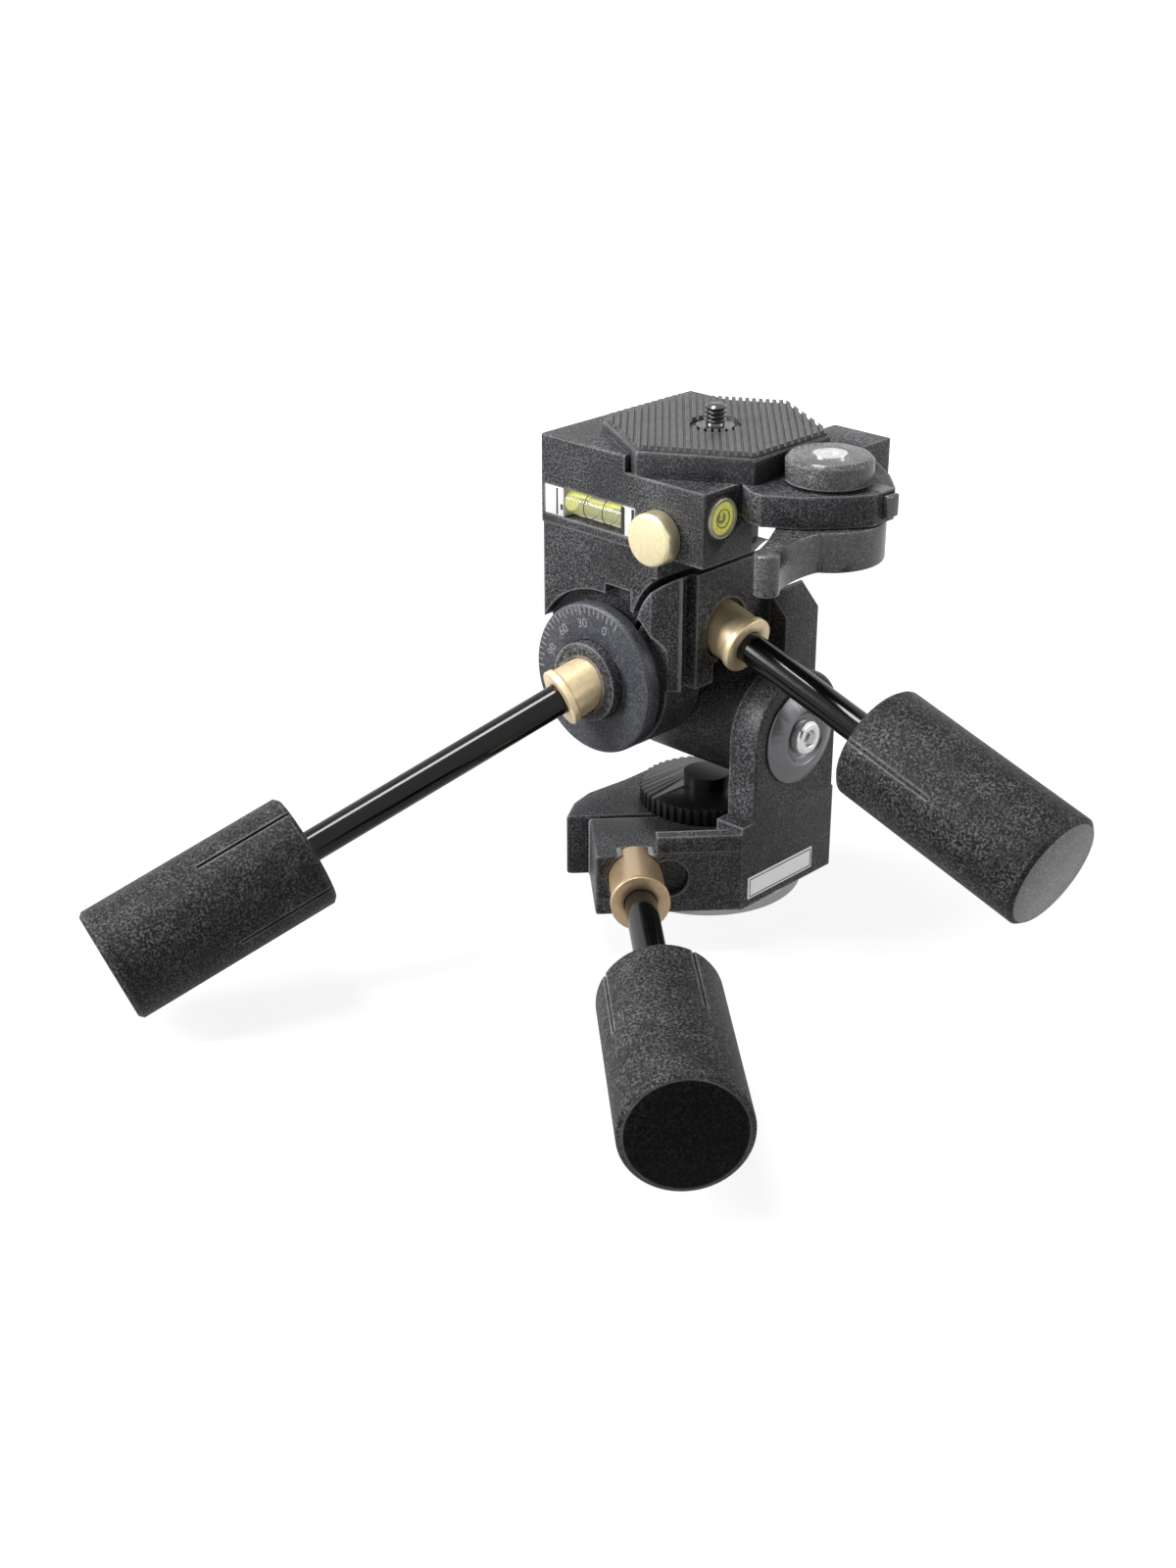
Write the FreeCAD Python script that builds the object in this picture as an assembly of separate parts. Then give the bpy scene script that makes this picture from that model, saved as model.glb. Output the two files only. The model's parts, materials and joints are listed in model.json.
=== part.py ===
import FreeCAD, Part
import math
import os

from FreeCAD import Vector

# Three-way pan and tilt head for a tripod. Millimetres.
# Origin: pan axis at the underside of the base disc. +Z up, +Y away from the user,
# +X to the user's right. The user stands at -Y, the side that carries the tube level.

# ---------------------------------------------------------------- fits and gaps
shaft_fit = 0.05           # radial clearance of a shaft that turns in its bore
part_gap = 0.3             # space between faces that move past each other
socket_gap = 0.4           # radial space round a handle collar in its socket
insert_fit = 0.1           # space round an insert that is glued or pressed in

# ---------------------------------------------------------------- base and pan axis
base_radius = 30.0
base_thickness = 5.0
base_edge = 0.8
thread_radius = 4.0        # 3/8 in tripod thread, minor radius
bush_radius = 8.0
bush_length = 14.0
bush_flange_radius = 10.5
bush_flange_height = 2.0
spindle_radius = 14.0
washer_thickness = 1.0
washer_radius = 24.0
base_screw_radius = 1.6
base_screw_head_radius = 3.2
base_screw_length = 9.0
base_screw_count = 3
base_screw_pitch_radius = 11.6
body_bottom = base_thickness + washer_thickness
deck_height = 25.5         # top of the pan casting's clamp
scale_ring_radius = 20.5
scale_ring_height = 5.0
scale_ring_teeth = 48
scale_tooth_depth = 0.7
ring_bolt_head_radius = 7.0
ring_bolt_head_height = 4.0
ring_bolt_radius = 3.0
ring_bolt_length = 11.0

# ---------------------------------------------------------------- pan casting
wall_outer = 32.0          # x of the wall's outer face
wall_inner = 22.0
wall_front = -20.5
wall_back = 22.0
wall_step = 33.0           # height at which the wall draws in
cheek_radius = 19.5        # round top of the wall, about the front tilt axis
facet_offset = 37.5        # distance of the handle facet from the pan axis
front_jaw_end = -37.0      # along the facet, from the pan axis
rear_jaw_end = -44.0
jaw_split = 11.0           # distance of the saw cut from the pan axis
jaw_split_width = 2.2
parapet_start = -19.0
parapet_top = 31.0
parapet_thickness = 4.0
casting_edge = 0.8
arm_edge = 1.2             # round on the arm's outer edge
saw_overrun = 1.0          # a saw cut runs this far past the metal
back_plate_left = -27.9
back_corner = 10.0
back_corner_run = 10.0
back_plate_front = -7.0
rear_nose_run = 3.0        # the rear jaw's nose narrows towards the back plate
rear_nose_depth = 7.0
rear_nose_end = 8.0

# ---------------------------------------------------------------- front tilt axis (along X)
tilt_y = 4.0
tilt_z = 55.5
axle_radius = 10.0
axle_end = -17.0
axle_spigot_radius = 7.5
axle_spigot_length = 7.0
axle_bolt_radius = 4.0
axle_bolt_head_radius = 5.2
axle_bolt_head_height = 3.2
axle_bolt_hex = 2.9
axle_bolt_hex_depth = 2.2
axle_bolt_length = 26.0
axle_cap_radius = 15.0
axle_cap_rim = 0.8         # straight edge below the cap's cone
axle_cap_thickness = 3.0
axle_cap_face_radius = 9.8
axle_cap_dish_radius = 8.6
axle_cap_dish_depth = 1.8
clamp_wall = 7.0           # metal round the axle
block_left = -18.0
block_right = 0.0
block_front = -13.0
block_bottom = 52.0
block_top = 74.0
rear_jaw_left = 3.0        # jaw behind the platform, with a tower at its right end
rear_jaw_front = 9.0
rear_jaw_back = 24.0
rear_jaw_top = 75.5
tower_left = 15.0
tower_top = 95.0
tower_chamfer = 7.0
end_cover_radius = 13.0
end_cover_thickness = 1.6
brake_plug_radius = 3.0
spring_wire = 0.8
spring_turns = 6
spring_radius = 4.8
spring_bore_radius = 6.2
spring_bore_depth = 16.0

# ---------------------------------------------------------------- side tilt axis (along Y)
side_x = -15.0
side_z = 71.5
drum_radius = 17.0
drum_end = -31.0
hub_radius = 12.0
hub_end = -39.0            # the hub stands proud of the disc that is pressed on it
disc_radius = 23.0
disc_front = -35.5
disc_back = -31.0
disc_edge = 0.8
thrust_radius = 19.5
ring_radius = 23.0         # clamp ring round the drum
ring_back = -13.5
recess_radius = 26.5
recess_floor = -28.5

# ---------------------------------------------------------------- platform casting
deck_left = -38.3
deck_right = 24.9
deck_front = -32.75
deck_back = 32.75
deck_bottom = 114.5
deck_top = 136.0
lip_top = 141.0
lip_right = -5.0
plate_face = -32.0
plate_left = -38.0
jaw_right = 13.0
jaw_back = 17.5
jaw_top = 107.0
jaw_bottom = 72.0
mass_bottom = 78.0
jaw_chamfer = 8.0
groove_width = 4.5
groove_depth = 4.0
groove_inset = 1.6
split_width = 2.0
split_centre_x = 20.0      # the saw cut bends round this point
split_centre_z = 88.0
split_radius = 22.0
split_bend_z = 91.5
jaw_gap_start = 7.0
deck_relief_left = 3.0     # behind the front bar the deck's right side is thin
deck_relief_front = -12.0
index_left = -13.0
index_right = -3.0
index_bottom = 92.0
index_top = 101.0
pocket_wall = 5.0
pocket_roof = 6.0

# ---------------------------------------------------------------- levels
vial_left = -36.6
vial_right = -0.9
vial_bottom = 117.4
vial_top = 126.3
vial_depth = 8.0
tube_radius = 3.9
tube_wall = 0.7
tube_left = -29.0
tube_right = -5.5
bubble_length = 6.5
bubble_radius = 2.1
round_y = -25.5
round_z = 127.7
round_radius = 5.7
round_wall = 1.0
round_depth = 5.0
round_proud = 0.9
round_window_thickness = 0.5
round_bubble_radius = 1.7

# ---------------------------------------------------------------- plate, lever, lock knob
hex_radius = 33.4
hex_turn = 30.0            # corners of the plate point to -Y and +Y
plate_thickness = 7.4
pad_thickness = 1.6
plate_edge = 0.6
pad_inset = 1.0
pad_hole_radius = 7.5
camera_thread_radius = 3.175   # 1/4 in camera screw
camera_thread_reach = 5.4
camera_shank_radius = 2.7      # relieved shank that keeps the screw captive
screw_head_radius = 9.0
screw_head_height = 3.4
screw_slot_width = 2.0
screw_slot_depth = 1.4
screw_clip_radius = 5.6
screw_clip_thickness = 0.8
screw_pocket_radius = 12.0
screw_pocket_depth = 9.0
lever_x = 41.8
lever_y = 0.0
lever_shaft_radius = 4.0
lever_cap_radius = 12.4
lever_cap_top = 144.0
lever_cap_bottom = 137.0
lever_cap_edge = 1.2
lever_washer_radius = 8.0
cam_flat = 1.6
shelf_bottom = 127.0
shelf_right = 58.2
shelf_root = 5.0           # the shelf starts this far inside the deck
shelf_front = -17.5
shelf_front_edge = [(31.0, -21.5), (36.0, -22.5), (45.0, -17.0), (53.8, -7.3)]
shelf_nose_front = -0.7
shelf_nose_back = 8.5
shelf_back_edge = (50.0, 17.0)
shelf_back_corner = 26.0
lever_hub_radius = 13.5
lever_bottom = 115.0
lever_top = 126.6
lever_shoulder_radius = 16.5
# outline of the blade from the pivot, outer side and inner side, then its round tip
blade_outer = [(15.8, -1.5), (10.8, -8.5), (8.3, -15.0), (8.0, -23.0), (9.4, -30.5), (12.6, -37.0)]
blade_inner = [(5.4, -37.0), (2.6, -30.0), (-0.7, -23.6), (-5.2, -15.5), (-9.0, -10.0)]
blade_tip = (9.0, -37.0)
blade_tip_radius = 3.6
lever_bolt_head_radius = 4.8
lever_bolt_head_height = 1.6
lever_bolt_recess = 1.2
lever_bolt_radius = 2.5
lever_bolt_length = 20.0
rear_lip_front = 18.0
rear_lip_right = 38.0
knob_x = 9.0
knob_z = 120.5
knob_radius = 7.75
knob_length = 5.5
knob_edge = 0.7
knob_shaft_radius = 2.5
knob_shaft_length = 14.0
catch_y = 3.0
catch_width = 5.0
catch_z = 128.5
catch_height = 6.5
catch_reach = 2.0
catch_depth = 6.0
catch_spring_radius = 1.6
catch_spring_wire = 0.35
catch_spring_turns = 4

# ---------------------------------------------------------------- handles
rod_radius = 4.7
collar_radius = 8.0
collar_lip_radius = 8.7
collar_lip_length = 2.2
collar_sink = 5.0          # collar inside its socket
socket_mouth = 11.0        # a slanting collar clears the face by this much outside the socket
stud_radius = 4.0
grip_radius = 17.2
grip_length = 64.0
grip_bore = 44.0
grip_edge = 1.2
grip_groove_count = 4
grip_groove_length = 30.0
grip_groove_width = 1.0
grip_groove_depth = 0.8
pan_grip_turn = 120.0
front_grip_turn = 108.0
side_grip_turn = 23.0
grip_cap_radius = 14.8
grip_cap_thickness = 2.0

pan_handle_angle = -42.0
pan_handle_height = 18.1
pan_handle_offset = -25.3      # along the facet, from the pan axis
pan_handle_reach = 70.0        # facet to grip
pan_collar_length = 16.5
facet_hollow_offset = -15.5    # cast hollow beside the collar's socket
facet_hollow_height = 17.4
facet_hollow_radius = 6.0
facet_hollow_depth = 4.0
pan_stud_length = 40.0

front_handle_azimuth = 250.3
front_handle_pitch = -21.5
front_handle_reach = 97.4
front_collar_length = 11.5
front_stud_length = 16.0

side_handle_azimuth = -2.0
side_handle_pitch = -17.0
side_handle_y = -7.9
side_handle_z = 88.1
side_handle_reach = 63.5
side_collar_length = 13.0
side_stud_length = 24.0
side_seat_depth = 3.5          # the collar sits in a round seat in the jaw's face
side_seat_radius = 9.2

# ---------------------------------------------------------------- plain label plate
label_front = -17.5
label_back = 12.5
label_bottom = 8.6
label_top = 15.6
label_thickness = 0.4

X = Vector(1, 0, 0)
Y = Vector(0, 1, 0)
Z = Vector(0, 0, 1)


def heading(azimuth, pitch):
    a, p = math.radians(azimuth), math.radians(pitch)
    return Vector(math.cos(a) * math.cos(p), math.sin(a) * math.cos(p), math.sin(p))


def box(x0, x1, y0, y1, z0, z1):
    return Part.makeBox(x1 - x0, y1 - y0, z1 - z0, Vector(x0, y0, z0))


def rod(radius, start, direction, length):
    return Part.makeCylinder(radius, length, start, direction)


def ring(outer, inner, start, direction, length):
    return rod(outer, start, direction, length).cut(rod(inner, start, direction, length))


def prism(points, direction):
    return Part.Face(Part.makePolygon(points + points[:1])).extrude(direction)


def joined(first, *others):
    return first.multiFuse(list(others)).removeSplitter()


def solid_of(shape):
    return shape.Solids[0] if len(shape.Solids) == 1 else shape


def edges_near(shape, test):
    return [edge for edge in shape.Edges if test(edge)]


def on_plane(edge, axis, value):
    return all(abs(getattr(v.Point, axis) - value) < 1e-4 for v in edge.Vertexes)


def line(start, end):
    return Part.makeLine(start, end)


def curve_through(points):
    curve = Part.BSplineCurve()
    curve.interpolate(points)
    return curve.toShape()


def hexagon(radius, centre, direction, turn=0.0):
    across = X if abs(direction.x) < 0.5 else Y
    up = direction.cross(across)
    points = []
    for k in range(6):
        a = math.radians(60 * k + turn)
        points.append(centre + across * (radius * math.cos(a)) + up * (radius * math.sin(a)))
    return points


# the facet's own directions: d out of the facet along the pan handle, e along the facet
d_dir = heading(pan_handle_angle, 0)
e_dir = heading(pan_handle_angle + 90, 0)
front_dir = heading(front_handle_azimuth, front_handle_pitch)
side_dir = heading(side_handle_azimuth, side_handle_pitch)
pan_root = d_dir * facet_offset + e_dir * pan_handle_offset + Z * pan_handle_height
front_root = Vector(side_x, disc_front, side_z)
side_root = Vector(jaw_right - side_seat_depth, side_handle_y, side_handle_z)


def softened(shape, size, edges):
    return shape.makeFillet(size, edges)


def collar_socket(root, direction):
    return rod(collar_radius + socket_gap, root + direction * socket_mouth, -direction,
               socket_mouth + collar_sink + part_gap)


def facet_point(d, e, z):
    return d_dir * d + e_dir * e + Z * z


# ================================================================ base
def base_disc():
    body = rod(base_radius, Vector(0, 0, 0), Z, base_thickness)
    body = body.makeChamfer(base_edge, edges_near(body, lambda e: on_plane(e, "z", base_thickness)
                                                  or on_plane(e, "z", 0)))
    body = body.cut(rod(bush_radius, Vector(0, 0, 0), Z, base_thickness))
    body = body.cut(rod(bush_flange_radius, Vector(0, 0, 0), Z, bush_flange_height))
    for centre in base_screw_centres():
        body = body.cut(rod(base_screw_radius, centre, Z, base_thickness))
        body = body.cut(countersink(centre))
    return body


def base_screw_centres():
    step = 2 * math.pi / base_screw_count
    return [Vector(base_screw_pitch_radius * math.cos(k * step),
                   base_screw_pitch_radius * math.sin(k * step), 0) for k in range(base_screw_count)]


def countersink(centre):
    depth = base_screw_head_radius - base_screw_radius
    return Part.makeCone(base_screw_head_radius, base_screw_radius, depth, centre, Z)


def thread_bush():
    body = joined(rod(bush_radius, Vector(0, 0, 0), Z, bush_length),
                  rod(bush_flange_radius, Vector(0, 0, 0), Z, bush_flange_height))
    for centre in base_screw_centres():
        body = body.cut(rod(base_screw_head_radius, centre, Z, bush_flange_height))
    return body.cut(rod(thread_radius, Vector(0, 0, 0), Z, bush_length))


def base_screws():
    screws = []
    for centre in base_screw_centres():
        screws.append(joined(rod(base_screw_radius, centre, Z, base_screw_length), countersink(centre)))
    return Part.makeCompound(screws)


def pan_spindle():
    top = deck_height + part_gap
    body = rod(spindle_radius, Vector(0, 0, base_thickness), Z, top - base_thickness)
    body = body.cut(rod(bush_radius, Vector(0, 0, 0), Z, bush_length))
    body = body.cut(rod(ring_bolt_radius, Vector(0, 0, top - ring_bolt_length), Z, ring_bolt_length))
    for centre in base_screw_centres():
        body = body.cut(rod(base_screw_radius, centre, Z, base_screw_length))
    return body


def scale_ring():
    low = deck_height + part_gap
    body = rod(scale_ring_radius, Vector(0, 0, low), Z, scale_ring_height)
    teeth = []
    step = 2 * math.pi / scale_ring_teeth
    for k in range(scale_ring_teeth):
        a = k * step
        centre = Vector(scale_ring_radius * math.cos(a), scale_ring_radius * math.sin(a), low)
        teeth.append(rod(scale_tooth_depth, centre, Z, scale_ring_height))
    body = body.cut(Part.makeCompound(teeth))
    return body.cut(rod(ring_bolt_radius, Vector(0, 0, low), Z, scale_ring_height))


def ring_bolt():
    seat = deck_height + part_gap + scale_ring_height
    shank_length = ring_bolt_length + scale_ring_height
    return joined(rod(ring_bolt_head_radius, Vector(0, 0, seat), Z, ring_bolt_head_height),
                  rod(ring_bolt_radius, Vector(0, 0, seat - shank_length), Z, shank_length))


def thrust_washer():
    return ring(washer_radius, spindle_radius + shaft_fit, Vector(0, 0, base_thickness), Z,
                washer_thickness)


# ================================================================ pan casting
def clamp_outline(z):
    points = [Vector(wall_outer, wall_front, z),
              facet_point(facet_offset, front_jaw_end, z),
              facet_point(jaw_split + jaw_split_width / 2, front_jaw_end, z),
              facet_point(jaw_split - jaw_split_width / 2, rear_jaw_end, z),
              facet_point(0, rear_jaw_end + rear_nose_run, z),
              facet_point(-rear_nose_depth, rear_jaw_end + rear_nose_end, z),
              Vector(back_plate_left, back_plate_front, z),
              Vector(back_plate_left, back_corner, z),
              Vector(back_plate_left + back_corner_run, wall_back, z),
              Vector(wall_outer, wall_back, z)]
    return points


def cheek():
    low = box(wall_inner, wall_outer, wall_front, wall_back, body_bottom, wall_step)
    arm = joined(box(wall_inner, wall_outer, tilt_y - cheek_radius, tilt_y + cheek_radius,
                     wall_step, tilt_z),
                 rod(cheek_radius, Vector(wall_inner, tilt_y, tilt_z), X, wall_outer - wall_inner))
    arm = arm.cut(box(wall_inner, wall_outer, wall_back, wall_back + cheek_radius, 0, tilt_z + cheek_radius))
    arm = softened(arm, arm_edge, edges_near(arm, lambda e: on_plane(e, "x", wall_outer)
                                             and e.BoundBox.ZMax > wall_step + arm_edge))
    return joined(low, arm)


def pan_casting():
    low = prism(clamp_outline(body_bottom), Z * (deck_height - body_bottom))
    low = softened(low, casting_edge, low.Edges)
    inner = facet_offset - parapet_thickness
    run = (wall_outer - inner * d_dir.x) / e_dir.x
    parapet = prism([facet_point(facet_offset, parapet_start, deck_height),
                     Vector(wall_outer, wall_front, deck_height),
                     facet_point(inner, run, deck_height),
                     facet_point(inner, parapet_start, deck_height)], Z * (parapet_top - deck_height))
    body = joined(low, parapet, cheek())
    body = body.cut(rod(spindle_radius + shaft_fit, Vector(0, 0, 0), Z, deck_height))
    body = body.cut(jaw_cut())
    body = body.cut(rod(stud_radius + shaft_fit, pan_root - d_dir * pan_stud_length, d_dir,
                        pan_stud_length))
    body = body.cut(collar_socket(pan_root, d_dir))
    hollow = facet_point(facet_offset, facet_hollow_offset, facet_hollow_height)
    body = body.cut(rod(facet_hollow_radius, hollow, -d_dir, facet_hollow_depth))
    axle_seat = Vector(wall_inner, tilt_y, tilt_z)
    body = body.cut(rod(axle_spigot_radius, axle_seat, X, axle_spigot_length))
    body = body.cut(rod(axle_bolt_radius, axle_seat, X, wall_outer - wall_inner))
    return solid_of(body)


def jaw_cut():
    start = facet_point(jaw_split - jaw_split_width / 2, 0, body_bottom)
    near = start + e_dir * (rear_jaw_end - saw_overrun)
    return prism([start, start + d_dir * jaw_split_width, near + d_dir * jaw_split_width, near],
                 Z * (deck_height - body_bottom))


def label_plate():
    return box(wall_outer, wall_outer + label_thickness, label_front, label_back, label_bottom, label_top)


# ================================================================ front tilt axle
def tilt_axle():
    start = Vector(axle_end, tilt_y, tilt_z)
    body = joined(rod(axle_radius, start, X, wall_inner - axle_end),
                  rod(axle_spigot_radius, Vector(wall_inner, tilt_y, tilt_z), X, axle_spigot_length))
    bolt_start = wall_outer - axle_bolt_length
    body = body.cut(rod(axle_bolt_radius, Vector(bolt_start, tilt_y, tilt_z), X, axle_bolt_length))
    return body.cut(rod(spring_bore_radius, start, X, spring_bore_depth))


def axle_cap():
    face = Vector(wall_outer, tilt_y, tilt_z)
    floor = axle_cap_thickness - axle_cap_dish_depth
    slope = Part.makeCone(axle_cap_radius, axle_cap_face_radius, axle_cap_thickness - axle_cap_rim,
                          face + X * axle_cap_rim, X)
    body = joined(rod(axle_cap_radius, face, X, axle_cap_rim), slope)
    dish = Part.makeCone(axle_cap_dish_radius - axle_cap_dish_depth, axle_cap_dish_radius,
                         axle_cap_dish_depth, face + X * floor, X)
    return body.cut(dish).cut(rod(axle_bolt_radius, face, X, floor))


def axle_bolt():
    floor = wall_outer + axle_cap_thickness - axle_cap_dish_depth
    head = rod(axle_bolt_head_radius, Vector(floor, tilt_y, tilt_z), X, axle_bolt_head_height)
    top = floor + axle_bolt_head_height
    head = head.makeChamfer(casting_edge, edges_near(head, lambda e: on_plane(e, "x", top)))
    socket = prism(hexagon(axle_bolt_hex, Vector(top, tilt_y, tilt_z), X), -X * axle_bolt_hex_depth)
    shank_start = wall_outer - axle_bolt_length
    shank = rod(axle_bolt_radius, Vector(shank_start, tilt_y, tilt_z), X, floor - shank_start)
    return joined(head, shank).cut(socket)


# ================================================================ tilt block
def drum_root():
    return Vector(side_x, block_front, side_z)


def tilt_casting():
    bore_start = Vector(block_left, tilt_y, tilt_z)
    right = wall_inner - part_gap
    housing_length = right - block_left
    housing = rod(axle_radius + clamp_wall, bore_start, X, housing_length)
    core = box(block_left, block_right, block_front, tilt_y + axle_radius + clamp_wall,
               block_bottom, block_top)
    drum = rod(drum_radius, drum_root(), -Y, block_front - drum_end)
    hub = rod(hub_radius, drum_root(), -Y, block_front - hub_end)
    jaw = box(rear_jaw_left, right, rear_jaw_front, rear_jaw_back, tilt_z, rear_jaw_top)
    tower = box(tower_left, right, rear_jaw_front, rear_jaw_back, tilt_z, tower_top)
    slope = prism([Vector(right, rear_jaw_front, tower_top - tower_chamfer),
                   Vector(right, rear_jaw_front, tower_top),
                   Vector(right - tower_chamfer, rear_jaw_front, tower_top)],
                  Y * (rear_jaw_back - rear_jaw_front))
    body = joined(housing, core, drum, hub, jaw, tower.cut(slope))
    body = body.cut(rod(axle_radius + shaft_fit, bore_start, X, housing_length))
    body = body.cut(rod(stud_radius + shaft_fit, front_root, -front_dir, front_stud_length))
    body = body.cut(collar_socket(front_root, front_dir))
    plug_start, plug_dir, plug_length = brake_plug_line()
    body = body.cut(rod(brake_plug_radius + insert_fit, plug_start, plug_dir, plug_length + 2 * part_gap))
    return solid_of(body)


def brake_plug_line():
    tip = front_root - front_dir * (front_stud_length + part_gap)
    target = Vector(tip.x, tilt_y, tilt_z)
    reach = (target - tip).Length - axle_radius - part_gap
    return tip, (target - tip).normalize(), reach


def brake_plug():
    start, direction, length = brake_plug_line()
    plug = rod(brake_plug_radius, start, direction, length)
    # its hollow end takes the point of the handle's stud
    return plug.cut(rod(stud_radius + shaft_fit, front_root, -front_dir, front_stud_length + part_gap))


def end_cover():
    face = Vector(block_left, tilt_y, tilt_z)
    cover = rod(end_cover_radius, face - X * end_cover_thickness, X, end_cover_thickness)
    left = block_left - end_cover_thickness
    return cover.makeChamfer(casting_edge, edges_near(cover, lambda e: on_plane(e, "x", left)))


def balance_spring():
    length = spring_bore_depth - 2 * spring_wire - 2 * part_gap
    start = Vector(axle_end + spring_wire + part_gap, tilt_y, tilt_z)
    return coil(spring_radius, spring_wire, spring_turns, length, start, X)


def coil(radius, wire, turns, length, start, direction):
    path = Part.makeHelix(length / turns, length, radius)
    profile = Part.Wire(Part.makeCircle(wire, Vector(radius, 0, 0), Y))
    body = Part.Wire(path.Edges).makePipeShell([profile], True, True)
    body.Placement = FreeCAD.Placement(start, FreeCAD.Rotation(Z, direction))
    return body


def scale_disc():
    face = Vector(side_x, disc_front, side_z)
    body = rod(disc_radius, face, Y, disc_back - disc_front)
    body = body.makeChamfer(disc_edge, edges_near(body, lambda e: on_plane(e, "y", disc_front)))
    return body.cut(rod(hub_radius, face, Y, disc_back - disc_front))


def drum_washer():
    length = recess_floor - disc_back
    return ring(thrust_radius, drum_radius + shaft_fit, Vector(side_x, disc_back, side_z), Y, length)


# ================================================================ platform
def platform_casting():
    deck = box(deck_left, deck_right, deck_front, deck_back, deck_bottom, lip_top)
    deck = softened(deck, casting_edge, edges_near(deck, lambda e: not on_plane(e, "z", deck_bottom)))
    deck = deck.cut(box(lip_right, deck_right, deck_front, deck_back, deck_top, lip_top))
    rear_lip = box(rear_lip_front, rear_lip_right, rear_lip_front, deck_back, deck_top, lip_top)
    shelf = prism(shelf_outline(), Z * (deck_top - shelf_bottom))
    plate = box(plate_left, jaw_right, plate_face, ring_back, side_z, deck_bottom)
    jaw_low = box(side_x, jaw_right, plate_face, ring_back, jaw_bottom, deck_bottom)
    mass = box(plate_left, jaw_right, ring_back, jaw_back, mass_bottom, deck_bottom)
    clamp = rod(ring_radius, Vector(side_x, plate_face, side_z), Y, ring_back - plate_face)
    right_trim = box(side_x, jaw_right, plate_face, ring_back, side_z, jaw_bottom)
    body = joined(deck, rear_lip, shelf, plate.cut(right_trim), jaw_low, mass, clamp)
    body = body.cut(prism(hexagon(hex_radius + part_gap, Vector(0, 0, deck_top), Z, hex_turn),
                          Z * (lip_top - deck_top)))
    body = cut_clamp(body)
    body = cut_pockets(body)
    return solid_of(body)


def shelf_outline():
    inside = deck_right - shelf_root
    outline = [(inside, shelf_front), (deck_right, shelf_front)] + shelf_front_edge
    outline += [(shelf_right, shelf_nose_front), (shelf_right, shelf_nose_back), shelf_back_edge,
                (rear_lip_right, shelf_back_corner), (rear_lip_right, deck_back), (inside, deck_back)]
    return [Vector(x, y, shelf_bottom) for x, y in outline]


def cut_clamp(body):
    axis_front = Vector(side_x, plate_face, side_z)
    body = body.cut(rod(drum_radius + shaft_fit, axis_front, Y, block_front + part_gap - plate_face))
    body = body.cut(rod(recess_radius, axis_front, Y, recess_floor - plate_face))
    body = body.cut(box(index_left, index_right, plate_face, recess_floor, index_bottom, index_top))
    # saw cut: straight out of the drum bore, then round to the gap under the deck
    bend = Vector(split_centre_x - split_radius, 0, split_bend_z)
    away = Vector(bend.x - side_x, 0, bend.z - side_z)
    reach = away.Length + split_width / 2
    side = away.normalize().cross(Y) * (split_width / 2)
    start = Vector(side_x, plate_face, side_z)
    body = body.cut(prism([start - side, start + side, start + side + away * reach,
                           start - side + away * reach], Y * (jaw_back - plate_face)))
    centre = Vector(split_centre_x, plate_face, split_centre_z)
    arc = ring(split_radius + split_width / 2, split_radius - split_width / 2, centre, Y,
               jaw_back - plate_face)
    reach_box = box(split_centre_x - split_radius - split_width, jaw_right, plate_face, jaw_back,
                    split_bend_z, deck_bottom)
    body = body.cut(arc.common(reach_box))
    body = body.cut(box(jaw_gap_start, jaw_right, plate_face, jaw_back, jaw_top, deck_bottom))
    body = body.cut(box(deck_relief_left, deck_right, deck_relief_front, deck_back, jaw_top, shelf_bottom))
    # bevelled front edge of the jaw with the groove beside it
    bevel = prism([Vector(jaw_right, plate_face, jaw_bottom),
                   Vector(jaw_right, plate_face + jaw_chamfer, jaw_bottom),
                   Vector(jaw_right - jaw_chamfer, plate_face, jaw_bottom)], Z * (jaw_top - jaw_bottom))
    body = body.cut(bevel)
    groove_front = plate_face + jaw_chamfer - groove_inset
    body = body.cut(box(jaw_right - groove_depth, jaw_right, groove_front, groove_front + groove_width,
                        jaw_bottom, jaw_top))
    # handle screw, collar socket and the round seat round it
    body = body.cut(rod(side_seat_radius, side_root, side_dir, socket_mouth))
    body = body.cut(rod(stud_radius + shaft_fit, side_root, -side_dir, side_stud_length))
    return body.cut(collar_socket(side_root, side_dir))


def cut_pockets(body):
    body = body.cut(vial_pocket(0))
    body = body.cut(rod(round_radius + insert_fit, Vector(deck_right - round_depth, round_y, round_z), X,
                        round_depth))
    body = body.cut(rod(screw_pocket_radius, Vector(0, 0, deck_top - screw_pocket_depth), Z,
                        screw_pocket_depth))
    body = body.cut(rod(lever_shaft_radius + shaft_fit, Vector(lever_x, lever_y, shelf_bottom), Z,
                        deck_top - shelf_bottom))
    body = body.cut(rod(knob_shaft_radius + shaft_fit, Vector(knob_x, deck_front, knob_z), Y,
                        knob_shaft_length))
    body = body.cut(catch_slot())
    # underside pocket that lightens the deck, open to the rear
    return body.cut(box(deck_left + pocket_wall, deck_right - pocket_wall, jaw_back, deck_back - pocket_wall,
                        deck_bottom, deck_top - pocket_roof))


def vial_pocket(gap):
    return box(vial_left + gap, vial_right - gap, deck_front, deck_front + vial_depth - gap,
               vial_bottom + gap, vial_top - gap)


def catch_slot():
    return box(shelf_right - catch_depth - catch_reach, shelf_right, catch_y - part_gap,
               catch_y + catch_width + part_gap, catch_z - part_gap, catch_z + catch_height + part_gap)


# ---------------------------------------------------------------- tube level
def tube_centre():
    return Vector(tube_left, deck_front + tube_radius, (vial_bottom + vial_top) / 2)


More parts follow.
